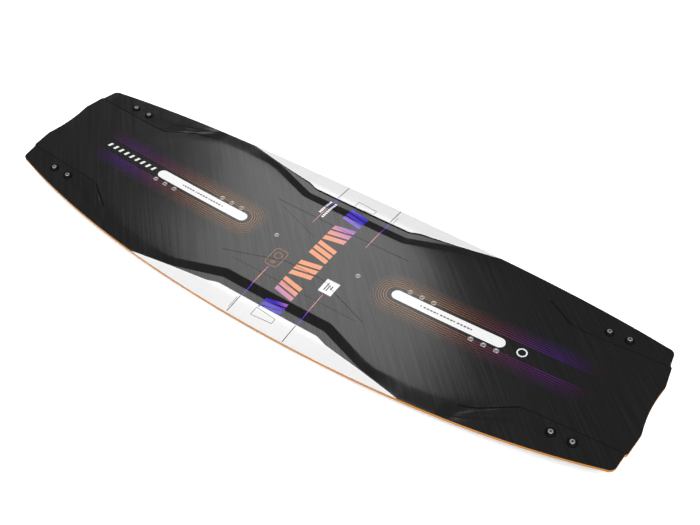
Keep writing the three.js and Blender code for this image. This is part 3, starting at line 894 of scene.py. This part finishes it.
def make_rails():
    """One strip round the board under the deck's rim, in four lengths that meet at the tips.
    Its section is a list of [depth in from the edge, the surface it is measured from, lift]."""
    section = [(RAIL_ROUND * (1 - up), "base", RAIL_ROUND * (1 - out))
               for out, up in quarter_round(3)]
    section += [(RAIL_REBATE, "base", 0.0), (RAIL_REBATE, "base", SKIN + TIGHT),
                (RAIL_WIDTH, "base", SKIN + TIGHT), (RAIL_WIDTH, "deck", -SKIN - TIGHT),
                (RAIL_LIP, "deck", -SKIN - TIGHT), (RAIL_LIP, "deck", -RAIL_LIP_DROP),
                (0.1, "deck", -RAIL_LIP_DROP), (0.0, "deck", -RAIL_LIP_DROP - 0.1)]
    rings = []
    for depth, surface, lift in section:
        x, y = (loop_of(g) for g in board_grid(depth, deck_columns))
        ground = base_edge_height(x) if depth <= RAIL_REBATE else base_height(x, y)
        sag = RAIL_SAG * max(0.0, 1 - depth / RAIL_REBATE) if surface == "base" else 0.0
        height = (ground if surface == "base" else deck_height(x, y)) + lift - sag
        rings.append(np.stack([x, y, height], axis=-1))
    rings = np.stack(rings, axis=1)
    outer = rings[:, 0]
    on_tip = np.abs(outer[:, 0]) > CORNER_START - 0.01
    count = len(rings)
    for name, tip, axis, side in (("near_rail", False, 1, -1), ("right_tip_rail", True, 0, 1),
                                  ("far_rail", False, 1, 1), ("left_tip_rail", True, 0, -1)):
        chosen = (on_tip == tip) & (outer[:, axis] * side > 0)
        picked = np.flatnonzero(chosen)
        first = next(k for k in picked if not chosen[k - 1])
        run = [(first + k) % count for k in range(len(picked))]
        if tip:
            run = [(first - 1) % count, *run, (run[-1] + 1) % count]
        make_rail(name, rings[run])


def make_rail(name, rings):
    stations, corners = rings.shape[:2]
    numbers = np.arange(stations * corners).reshape(stations, corners).tolist()
    faces = [(ring[k], ring[k + 1 - corners], after[k + 1 - corners], after[k])
             for ring, after in zip(numbers, numbers[1:]) for k in range(corners)]
    faces += [numbers[0][::-1], numbers[-1]]
    mesh = mesh_from(name + "_strip", rings.reshape(-1, 3), faces)
    mesh.materials.append(ORANGE_ABS)
    new_piece(name + "_strip", mesh, name)


make_deck()
make_base()
make_rails()

# ---- Fins

FIN_Y = 124.2
FIN_MIDDLE = 573.5
FIN_ROOT_LENGTH = 92.0
FIN_FOOT_LENGTH = 42.0
FIN_RAKE = 6.0
FIN_THICKNESS = 5.4
FIN_BLOCK_LENGTH = 66.0
FIN_BLOCK_WIDTH = 14.4
FIN_BLOCK_HEIGHT = 13.0
FIN_BLOCK_DRAFT = (4.0, 0.6)
FIN_BLOCK_ROUND = 2.4
FIN_GAP = 0.1
# The blade's section, from its outline in: [depth, half its thickness].
BLADE_SECTION = ((0.0, 0.7), (0.25, 1.15), (0.8, 1.45), (2.0, 1.8), (5.0, 2.4),
                 (8.5, FIN_THICKNESS / 2))


def fin_top(x):
    return float(base_height(x, FIN_Y)) - FIN_GAP


def bezier(corners, count):
    points = []
    for k in range(count):
        t = k / count
        weights = ((1 - t) ** 3, 3 * t * (1 - t) ** 2, 3 * t * t * (1 - t), t ** 3)
        points.append(sum(w * np.array(p, float) for w, p in zip(weights, corners)))
    return points


def fin_outline():
    """The blade's side view as [x, z], from the root's inner end down, along and up again."""
    front = FIN_MIDDLE - FIN_ROOT_LENGTH / 2
    back = FIN_MIDDLE + FIN_ROOT_LENGTH / 2
    foot_front = FIN_MIDDLE + FIN_RAKE - FIN_FOOT_LENGTH / 2
    foot_back = foot_front + FIN_FOOT_LENGTH
    leading = ((front, fin_top(front)), (front + 12, 22), (front + 20, 4), (foot_front, 0))
    foot = ((foot_front, 0), (foot_front + 14, 0), (foot_back - 14, 0), (foot_back, 0))
    trailing = ((foot_back, 0), (back - 3, 4), (back - 3, 22), (back, fin_top(back)))
    points = bezier(leading, 28) + bezier(foot, 10) + bezier(trailing, 28)
    points += [np.array((x, fin_top(x))) for x in np.linspace(back, front, 20)[:-1]]
    return np.array(points)


def blade_mesh():
    """A blade whose faces thin towards its edges, and round off at them."""
    outline = fin_outline()
    before, after = np.roll(outline, 1, axis=0), np.roll(outline, -1, axis=0)
    tangent = after - before
    tangent /= np.linalg.norm(tangent, axis=1)[:, None]
    inward = np.stack([-tangent[:, 1], tangent[:, 0]], axis=1)
    layers = [(depth, -half) for depth, half in reversed(BLADE_SECTION)]
    layers += BLADE_SECTION
    points = []
    for depth, y in layers:
        for place, normal in zip(outline, inward):
            x, z = place + normal * depth
            points.append((x, y, z))
    count = len(outline)
    rings = [list(range(k * count, (k + 1) * count)) for k in range(len(layers))]
    faces = [face for first, second in zip(rings, rings[1:]) for face in band_faces(first, second)]
    faces += [tuple(rings[0]), tuple(reversed(rings[-1]))]
    return mesh_from("fin_blade", points, faces)


def block_mesh():
    """The thicker block round the fin's two nuts, drafted and filleted."""
    half_along, half_across = FIN_BLOCK_LENGTH / 2, FIN_BLOCK_WIDTH / 2
    draft_x, draft_y = FIN_BLOCK_DRAFT
    work = bmesh.new()
    for sx in (-1, 1):
        for sy in (-1, 1):
            x = FIN_MIDDLE + sx * half_along
            work.verts.new((x, sy * half_across, fin_top(x)))
            work.verts.new((x - sx * draft_x, sy * (half_across - draft_y),
                            fin_top(x) - FIN_BLOCK_HEIGHT))
    made = bmesh.ops.convex_hull(work, input=work.verts)
    bmesh.ops.dissolve_limit(work, angle_limit=0.02, verts=work.verts, edges=work.edges)
    low = [e for e in work.edges if min(v.co.z for v in e.verts) < fin_top(FIN_MIDDLE) - 4]
    bmesh.ops.bevel(work, geom=low, offset=FIN_BLOCK_ROUND, segments=5, profile=0.5,
                    affect="EDGES")
    bmesh.ops.recalc_face_normals(work, faces=work.faces)
    bmesh.ops.scale(work, vec=(MM, MM, MM), verts=work.verts)
    mesh = bpy.data.meshes.new("fin_block")
    work.to_mesh(mesh)
    work.free()
    return mesh


def fin_matrix(name):
    centre = middle(name)
    turn = Matrix.Rotation(math.pi if centre.x < 0 else 0, 4, "Z")
    return Matrix.Translation((0, centre.y * MM, 0)) @ turn


fin_mesh = combined(blade_mesh(), block_mesh(), "UNION", "MANIFOLD")
place_copies(fin_nodes, "_moulded", fin_mesh, FIN_NYLON, fin_matrix)

# ---- Printed graphics, and painted shade in the pressed lines

INK_LIFT = 0.05
INK_SOAK = 0.08
INK_STEP = 4.0
PATCH_STEP = 3.0
INK_STRENGTH = 0.87
CARBON_TINT = np.array((0.011, 0.011, 0.012))
WHITE_TINT = np.array(grey(0.86))
GREY_TINT = np.array((0.015, 0.015, 0.016))
BADGE_TINT = np.array((0.42, 0.14, 0.05))
# The next three tints are painted shade for the pressed lines.
CREASE_SHADE_TINT = np.array(grey(0.004))
SHADOW_TINT = np.array(grey(0.006))
FAINT_SHADE_TINT = np.array(grey(0.009))
LABEL_TINT = np.array(grey(0.05))
DASH_TINT = np.array(grey(0.06))
SIDES = (("left", -1), ("right", 1))


def blend(stops, at):
    """Colours from [(place, (r, g, b)), ...], straight between the stops."""
    places = [place for place, _ in stops]
    return np.stack([np.interp(at, places, [c[k] for _, c in stops]) for k in range(3)], axis=-1)


def finer(path):
    """The same path with its long straights divided, so that a ribbon follows the deck."""
    pieces = [straight(a, b, INK_STEP)[:-1] for a, b in zip(path, path[1:])]
    return np.concatenate([*pieces, path[-1:]])


def steps_over(start, end, step):
    """How many places to put from one point to another, about a step apart."""
    return max(2, int(np.linalg.norm(end - start) / step) + 1)


def straight(start, end, step=2.0):
    start, end = np.array(start, float), np.array(end, float)
    count = steps_over(start, end, step)
    return start + (end - start) * np.linspace(0, 1, count)[:, None]


class InkAndShade:
    """Sheets of ink, or of painted shade, that lie on the deck, gathered into one piece."""

    def __init__(self):
        self.points, self.faces, self.colours = [], [], []

    def add(self, places, tint, lift=INK_LIFT):
        """Adds a sheet over a grid of places. Its tint is a colour, or gives one at [x, y]."""
        x, y = places[..., 0], places[..., 1]
        shown = tint(x, y) if callable(tint) else np.broadcast_to(tint, (*x.shape, 3))
        points, faces, colours = thin_sheet(x, y, lift, shown)
        start = sum(len(p) for p in self.points)
        self.points.append(points)
        self.faces += [tuple(start + k for k in face) for face in faces]
        self.colours.append(colours)

    def ribbon(self, path, width, tint):
        path = finer(np.asarray(path, float))
        direction = np.gradient(path, axis=0)
        direction /= np.linalg.norm(direction, axis=1)[:, None]
        left = np.stack([-direction[:, 1], direction[:, 0]], axis=1) * width / 2
        self.add(np.stack([path - left, path + left], axis=1), tint)

    def patch(self, corners, tint, lift=INK_LIFT):
        """A four-sided patch; its corners run counter-clockwise seen from above."""
        a, b, c, d = (np.array(p, float) for p in corners)
        rows = max(steps_over(a, b, PATCH_STEP), steps_over(d, c, PATCH_STEP))
        across = max(steps_over(a, d, PATCH_STEP), steps_over(b, c, PATCH_STEP))
        u = np.linspace(0, 1, rows)[:, None, None]
        v = np.linspace(0, 1, across)[None, :, None]
        self.add((a * (1 - u) + b * u) * (1 - v) + (d * (1 - u) + c * u) * v, tint, lift)

    def box(self, x0, x1, y0, y1, tint, lift=INK_LIFT):
        self.patch(((x0, y0), (x1, y0), (x1, y1), (x0, y1)), tint, lift)

    def ticks(self, x, half, y0, y1, count, share, tint):
        """A row of short bars along Y that stands for a line of small print."""
        pitch = (y1 - y0) / count
        for k in range(count):
            self.box(x - half, x + half, y0 + pitch * k, y0 + pitch * (k + share), tint)

    def make(self, name, material=INK):
        mesh = mesh_from(name, np.concatenate(self.points), self.faces)
        layer = mesh.color_attributes.new("tint", "FLOAT_COLOR", "POINT")
        colours = np.concatenate(self.colours) * INK_STRENGTH
        layer.data.foreach_set("color", np.c_[colours, np.ones(len(colours))].ravel())
        mesh.materials.append(material)
        new_piece(name, mesh)


def arc(centre, radius, first, last, count):
    angles = np.radians(np.linspace(first, last, count))
    return np.stack([centre[0] + radius * np.cos(angles),
                     centre[1] + radius * np.sin(angles)], axis=1)


TRACK_CENTRE = 185.2
TRACK_END = 612.0
TRACK_LINES = 7
TRACK_FIRST = 19.9
TRACK_PITCH = 4.95
TRACK_WIDTH = 1.25
TRACK_FAINTEST = 0.15
# The track lines' colours along X: [place, the violet pair's colour, the blue pair's colour].
TRACK_STOPS = [(250, (0.38, 0.165, 0.030), (0.38, 0.165, 0.030)),
               (300, (0.36, 0.120, 0.036), (0.34, 0.110, 0.035)),
               (350, (0.24, 0.055, 0.035), (0.22, 0.050, 0.036)),
               (400, (0.18, 0.020, 0.090), (0.18, 0.022, 0.100)),
               (440, (0.13, 0.010, 0.120), (0.14, 0.010, 0.190)),
               (470, (0.12, 0.006, 0.160), (0.11, 0.006, 0.250)),
               (500, (0.12, 0.006, 0.210), (0.09, 0.003, 0.280)),
               (540, (0.09, 0.004, 0.120), (0.055, 0.003, 0.130)),
               (570, (0.03, 0.008, 0.020), (0.025, 0.008, 0.016)),
               (600, tuple(CARBON_TINT), tuple(CARBON_TINT))]


def track_tint(share):
    """The colour of one track line; the outer lines are fainter."""
    def tint_at(x, y):
        violet, blue = (blend([(stop[0], stop[k]) for stop in TRACK_STOPS], np.abs(x))
                        for k in (1, 2))
        colour = np.where((x * y > 0)[..., None], blue, violet)
        return CARBON_TINT + (colour - CARBON_TINT) * lerp(1.0, TRACK_FAINTEST, share)
    return tint_at


def print_tracks():
    """Nested lines round each pill, closed by half circles towards the middle."""
    for side, sign in SIDES:
        tracks = InkAndShade()
        for k in range(TRACK_LINES):
            offset = TRACK_FIRST + TRACK_PITCH * k
            out = straight((TRACK_END, offset), (TRACK_CENTRE, offset), 6.0)
            bend = arc((TRACK_CENTRE, 0), offset, 90, 270, 48)[1:-1]
            path = np.concatenate([out, bend, (out * (1, -1))[::-1]])
            tracks.ribbon(sign * path, TRACK_WIDTH, track_tint(k / (TRACK_LINES - 1)))
        tracks.make("track_lines_" + side)


PILL_ENDS = (176.0, 411.0)
PILL_HALF = 11.4
PILL_CAP_STEPS = 20
PILL_BODY_STEPS = 58
PILL_COLUMNS = 9
PILL_TIP_HALF = 0.3
DASH_START = 237.0
DASH_PITCH = 7.0
DASH_COUNT = 16
DASH_HALF = 1.5
# Every fifth dash is a short one.
DASH_GROUP = 5
LONG_DASH, SHORT_DASH = 5.2, 3.0


def print_pills():
    """A white label in each track, with a row of dashes on it that stands for print."""
    for side, sign in SIDES:
        pill = InkAndShade()
        low, high = PILL_ENDS
        cap = np.linspace(0, math.pi / 2, PILL_CAP_STEPS)
        near = low + PILL_HALF * (1 - np.cos(cap))
        body = np.linspace(low + PILL_HALF, high - PILL_HALF, PILL_BODY_STEPS + 2)[1:-1]
        far = high - PILL_HALF * (1 - np.cos(cap[::-1]))
        spread = np.concatenate([PILL_HALF * np.sin(cap), np.full(PILL_BODY_STEPS, PILL_HALF),
                                 PILL_HALF * np.sin(cap[::-1])])
        spread = np.maximum(spread, PILL_TIP_HALF)
        x = sign * np.concatenate([near, body, far])
        y = sign * spread[:, None] * np.linspace(-1, 1, PILL_COLUMNS)[None, :]
        pill.add(np.stack([np.broadcast_to(x[:, None], y.shape), y], axis=-1), WHITE_TINT)
        for k in range(DASH_COUNT):
            start = DASH_START + DASH_PITCH * k
            end = start + (LONG_DASH if k % DASH_GROUP else SHORT_DASH)
            pill.box(*sorted((sign * start, sign * end)), -DASH_HALF, DASH_HALF, DASH_TINT,
                     2 * INK_LIFT)
        pill.make("pill_" + side)


BLOCK_X = (-17.3, 28.5)
BLOCK_ROWS = [(157, 108), (104, 44), (43, -11), (-13.5, -69), (-73, -123), (-128, -165.6)]
BLOCK_STOPS = [(-166, (0.07, 0.04, 0.62)), (-136, (0.05, 0.02, 0.50)), (-124, (0.36, 0.13, 0.50)),
               (-108, (0.62, 0.22, 0.30)), (-88, (0.80, 0.29, 0.13)), (40, (0.82, 0.30, 0.13)),
               (66, (0.74, 0.27, 0.22)), (92, (0.46, 0.16, 0.45)), (112, (0.22, 0.08, 0.58)),
               (130, (0.07, 0.04, 0.62)), (158, (0.05, 0.03, 0.60))]
BARS_PER_BLOCK = 3
BAR_SHARE = 0.72
BAR_SLANT = 9.0
TINT_SLANT = 0.35
OUTLINE_ROWS = ((160.0, 179.0), (-187.0, -168.0))
OUTLINE_TAPER = 4.0


def block_tint(x, y):
    return blend(BLOCK_STOPS, y + TINT_SLANT * x)


def print_blocks():
    """A column of slanted bars across the middle of the deck, carried on as outlines."""
    blocks = InkAndShade()
    x0, x1 = BLOCK_X
    for k, (top, bottom) in enumerate(BLOCK_ROWS):
        slant = BAR_SLANT if k % 2 else -BAR_SLANT
        pitch = (top - bottom - abs(slant)) / BARS_PER_BLOCK
        for bar in range(BARS_PER_BLOCK):
            low = bottom + pitch * bar + (abs(slant) if slant < 0 else 0)
            high = low + pitch * BAR_SHARE
            corners = (x0, low), (x1, low + slant), (x1, high + slant), (x0, high)
            blocks.patch(corners, block_tint)
    for y0, y1 in OUTLINE_ROWS:
        corners = [(x0, y0), (x1, y0 + OUTLINE_TAPER), (x1, y1 - OUTLINE_TAPER), (x0, y1),
                   (x0, y0)]
        for start, end in zip(corners, corners[1:]):
            blocks.ribbon(straight(start, end), 1.0, GREY_TINT)
    blocks.make("centre_blocks")


FAR_LINE_STOPS = [(69, (0.30, 0.06, 0.32)), (85, (0.62, 0.20, 0.32)), (106, (0.80, 0.30, 0.16)),
                  (122, (0.50, 0.10, 0.40)), (135, (0.10, 0.04, 0.60)), (161, (0.08, 0.03, 0.55)),
                  (163, tuple(GREY_TINT)), (200, tuple(GREY_TINT))]
LINE_X = (-60.0, 69.0)
LINE_SPANS = ((69, 205), (-205, -76))
LINE_WIDTH = 1.6
# What InkAndShade.ticks takes for each row of small marks.
TICK_ROWS = ((-66, 2.6, 104, 149, 9, 0.72, WHITE_TINT), (-53.5, 2.6, 95, 149, 9, 0.72, WHITE_TINT),
             (75.5, 0.7, 163, 186, 8, 0.6, GREY_TINT), (-63.5, 0.7, -195, -168, 8, 0.6, GREY_TINT))


def line_tint(x, y):
    return blend(FAR_LINE_STOPS, np.abs(y))


def print_lines():
    """Thin cross lines over each side of the deck, with the small marks beside them."""
    lines = InkAndShade()
    for x in LINE_X:
        for y0, y1 in LINE_SPANS:
            lines.ribbon(straight((x, y0), (x, y1)), LINE_WIDTH, line_tint)
    for row in TICK_ROWS:
        lines.ticks(*row)
    lines.make("cross_lines")


def rounded_box(x0, x1, y0, y1, radius):
    corners = (((x1 - radius, y0 + radius), -90), ((x1 - radius, y1 - radius), 0),
               ((x0 + radius, y1 - radius), 90), ((x0 + radius, y0 + radius), 180))
    path = np.concatenate([arc(centre, radius, first, first + 90, 10)
                           for centre, first in corners])
    return np.concatenate([path, path[:1]])


# The small marks. Boxes are [x0, x1, y0, y1].
BADGE_BOX = (-75, -46, -72, -27)
BADGE_CORNER, BADGE_RING = 7, 8
BADGE_RING_CENTRE = (-60.5, -44)
BADGE_LINE = 1.1
BADGE_BARS = ((-67, -54, -61.5, -60), (-64.5, -56.5, -65.5, -64))
LABEL_BOX = (54.5, 83.5, -72.5, -39)
LABEL_BARS = ((62, 64.5, -66, -46), (67, 69.5, -66, -50), (73, 75.5, -60, -50))
TICK_START, TICK_PITCH, TICK_COUNT = -555.0, 15.4, 9
TICK_HALF = 5.5
TICK_WIDTH, TICK_LEAN = 5.5, 3.0
RING_CENTRE = (444, 0)
RING_RADIUS, RING_LINE = 8.5, 2.6


def print_marks():
    """The outlined badge, the white label, a row of ticks and a ring. All are plain shapes."""
    marks = InkAndShade()
    marks.ribbon(rounded_box(*BADGE_BOX, BADGE_CORNER), BADGE_LINE, BADGE_TINT)
    marks.ribbon(arc(BADGE_RING_CENTRE, BADGE_RING, 0, 360, 48), BADGE_LINE, BADGE_TINT)
    for bar in BADGE_BARS:
        marks.box(*bar, BADGE_TINT)
    marks.box(*LABEL_BOX, WHITE_TINT)
    for bar in LABEL_BARS:
        marks.box(*bar, LABEL_TINT, 2 * INK_LIFT)
    for k in range(TICK_COUNT):
        x = TICK_START + TICK_PITCH * k
        marks.patch(((x, -TICK_HALF), (x + TICK_WIDTH, -TICK_HALF),
                     (x + TICK_WIDTH + TICK_LEAN, TICK_HALF), (x + TICK_LEAN, TICK_HALF)),
                    WHITE_TINT)
    marks.ribbon(arc(RING_CENTRE, RING_RADIUS, 0, 360, 60), RING_LINE, WHITE_TINT)
    marks.make("small_marks")


# Painted shade along straight pressed lines: [start, end, width, tint].
STRAIGHT_CREASES = (((-162, 87), (160, 87), 0.8, CREASE_SHADE_TINT),
                    ((-142, 76), (-33, 38), 0.5, FAINT_SHADE_TINT),
                    ((-135, -96), (155, -96), 0.5, FAINT_SHADE_TINT))
ARCHED_WIDTH = 0.8
# The painted shade over the wall at the bend into a tongue starts further in at two opposite
# corners of the board.
BEND_WIDTH, TONGUE_WIDTH = 3.0, 2.4
TONGUE_BEND = [(402, 155), (418, 150), (434, 143), (462, 124.5), (491, 105.5)]
TONGUE_LINE = [(491, 105.5), (521, 102.5), (668, 101.8)]
ARCHED_LINE = [(-163, -91), (-88, -64), (-45, -48), (-30, -46.5), (44, -46.5), (60, -49),
               (84, -61), (168, -91)]


def paint_crease_shade():
    """Painted shade in the pressed lines of the deck: matt dark sheets along them, and beside each
    tip's tongue.
    """
    creases = InkAndShade()
    for start, end, width, tint in STRAIGHT_CREASES:
        creases.ribbon(straight(start, end), width, tint)
    creases.ribbon(ARCHED_LINE, ARCHED_WIDTH, CREASE_SHADE_TINT)
    for sx in (-1, 1):
        for sy in (-1, 1):
            # Painted shade over the wall where each tongue bends, starting further in at two
            # opposite corners, and fainter painted shade along the tongue's line.
            bend = TONGUE_BEND[0 if sx * sy < 0 else 2:]
            creases.ribbon([(sx * x, sy * y) for x, y in bend], BEND_WIDTH, SHADOW_TINT)
            creases.ribbon([(sx * x, sy * y) for x, y in TONGUE_LINE], TONGUE_WIDTH, FAINT_SHADE_TINT)
    creases.make("deck_creases", CREASE)


print_tracks()
print_pills()
print_blocks()
print_lines()
print_marks()
paint_crease_shade()

# ---- Floor, light and camera

FLOOR_SIZE = 300.0
FLOOR_GLOW = 0.36


def make_floor():
    """A white sheet, faintly luminous so that the shadow on it stays light."""
    half = FLOOR_SIZE / 2
    mesh = bpy.data.meshes.new("floor")
    mesh.from_pydata([(-half, -half, 0), (half, -half, 0), (half, half, 0), (-half, half, 0)], [],
                     [(0, 1, 2, 3)])
    paper = Surface("floor_paper", Roughness=0.9, Specular_IOR_Level=0.0,
                    Emission_Strength=FLOOR_GLOW)
    paper.set(Base_Color=paper.mix(paper.spread(paper.noise(3.0), 0, 1), grey(0.93), grey(0.95)))
    mesh.materials.append(paper.material)
    linked("floor", mesh)


# The surround's strength, and the heights of a ray's direction between which it changes.
HORIZON_STRENGTH, OVERHEAD_STRENGTH = 1.0, 0.09
HORIZON_TOP, OVERHEAD_START = 0.20, 0.36


def make_world():
    """A soft surround, bright at the horizon and dim overhead."""
    world = bpy.data.worlds.new("surround")
    bpy.context.scene.world = world
    world.use_nodes = True
    tree = world.node_tree
    background = tree.nodes["Background"]
    place = add_node(tree, "ShaderNodeTexCoord").outputs["Generated"]
    height = add_node(tree, "ShaderNodeSeparateXYZ", {0: place}).outputs["Z"]
    ramp = add_node(tree, "ShaderNodeMapRange",
                    {"Value": height, "From Min": HORIZON_TOP, "From Max": OVERHEAD_START,
                     "To Min": HORIZON_STRENGTH, "To Max": OVERHEAD_STRENGTH},
                    interpolation_type="SMOOTHSTEP")
    background.inputs["Color"].default_value = (1, 1, 1, 1)
    tree.links.new(ramp.outputs["Result"], background.inputs["Strength"])


def aim(direction):
    """A rotation whose -Z looks along the direction."""
    back = -Vector(direction).normalized()
    right = Vector(UP).cross(back).normalized()
    return Matrix((right, back.cross(right), back)).transposed().to_4x4()


def make_sun(name, direction, strength, angle):
    lamp = bpy.data.lights.new(name, "SUN")
    lamp.energy = strength
    lamp.angle = math.radians(angle)
    linked(name, lamp).matrix_world = aim(direction)


CAMERA_AZIMUTH = 33.395
CAMERA_ELEVATION = 47.232
CAMERA_ROLL = 0.676
CAMERA_DISTANCE = 1.6676
CAMERA_TARGET = (0.0663, 0.0195, 0.0292)
CAMERA_LENS = 43.99
SENSOR_WIDTH = 36.0
CLIP_END = 100.0


def make_camera():
    a, e, r = (math.radians(v) for v in (CAMERA_AZIMUTH, CAMERA_ELEVATION, CAMERA_ROLL))
    back = Vector((math.sin(a) * math.cos(e), -math.cos(a) * math.cos(e), math.sin(e)))
    level = Vector((math.cos(a), math.sin(a), 0))
    rise = back.cross(level)
    right = level * math.cos(r) + rise * math.sin(r)
    up = rise * math.cos(r) - level * math.sin(r)
    camera = bpy.data.cameras.new("camera")
    camera.lens = CAMERA_LENS
    camera.sensor_width = SENSOR_WIDTH
    camera.clip_end = CLIP_END
    holder = linked("camera", camera)
    turn = Matrix((right, up, back)).transposed().to_4x4()
    holder.matrix_world = Matrix.Translation(Vector(CAMERA_TARGET) + back * CAMERA_DISTANCE) @ turn
    bpy.context.scene.camera = holder


SOFTBOX_DISTANCE = 20.0
SOFTBOX_RADIANCE = 2.95
SOFTBOX_MIDDLE = Vector((-0.374, 0.567, 0.734))
SOFTBOX_CORNERS = [(-5.9, -10.5), (2.4, -10.5), (5.2, -5.0), (10.0, 3.0), (11.6, 7.0),
                   (13.0, 12.5), (3.2, 12.5), (0.6, 9.0), (-2.4, 5.0), (-5.6, -5.0)]


def make_softbox():
    """A slanted sheet of light, mirrored in the deck. Its corners are angles off its middle."""
    ahead = SOFTBOX_MIDDLE.normalized()
    aside = Vector(UP).cross(ahead).normalized()
    above = ahead.cross(aside)
    corners = [(ahead + aside * math.tan(math.radians(u)) + above * math.tan(math.radians(v)))
               * SOFTBOX_DISTANCE for u, v in SOFTBOX_CORNERS]
    mesh = bpy.data.meshes.new("softbox")
    mesh.from_pydata(corners, [], [tuple(range(len(corners)))])
    glow = bpy.data.materials.new("softbox_glow")
    glow.use_nodes = True
    tree = glow.node_tree
    shader = add_node(tree, "ShaderNodeEmission", {"Strength": SOFTBOX_RADIANCE})
    tree.links.new(shader.outputs[0], tree.nodes["Material Output"].inputs["Surface"])
    mesh.materials.append(glow)
    linked("softbox", mesh)


make_floor()
make_world()
make_softbox()
make_sun("front_fill", (-0.22, 0.36, -0.90), 3.8, 40.0)
make_camera()
bpy.context.scene.view_settings.view_transform = "Standard"
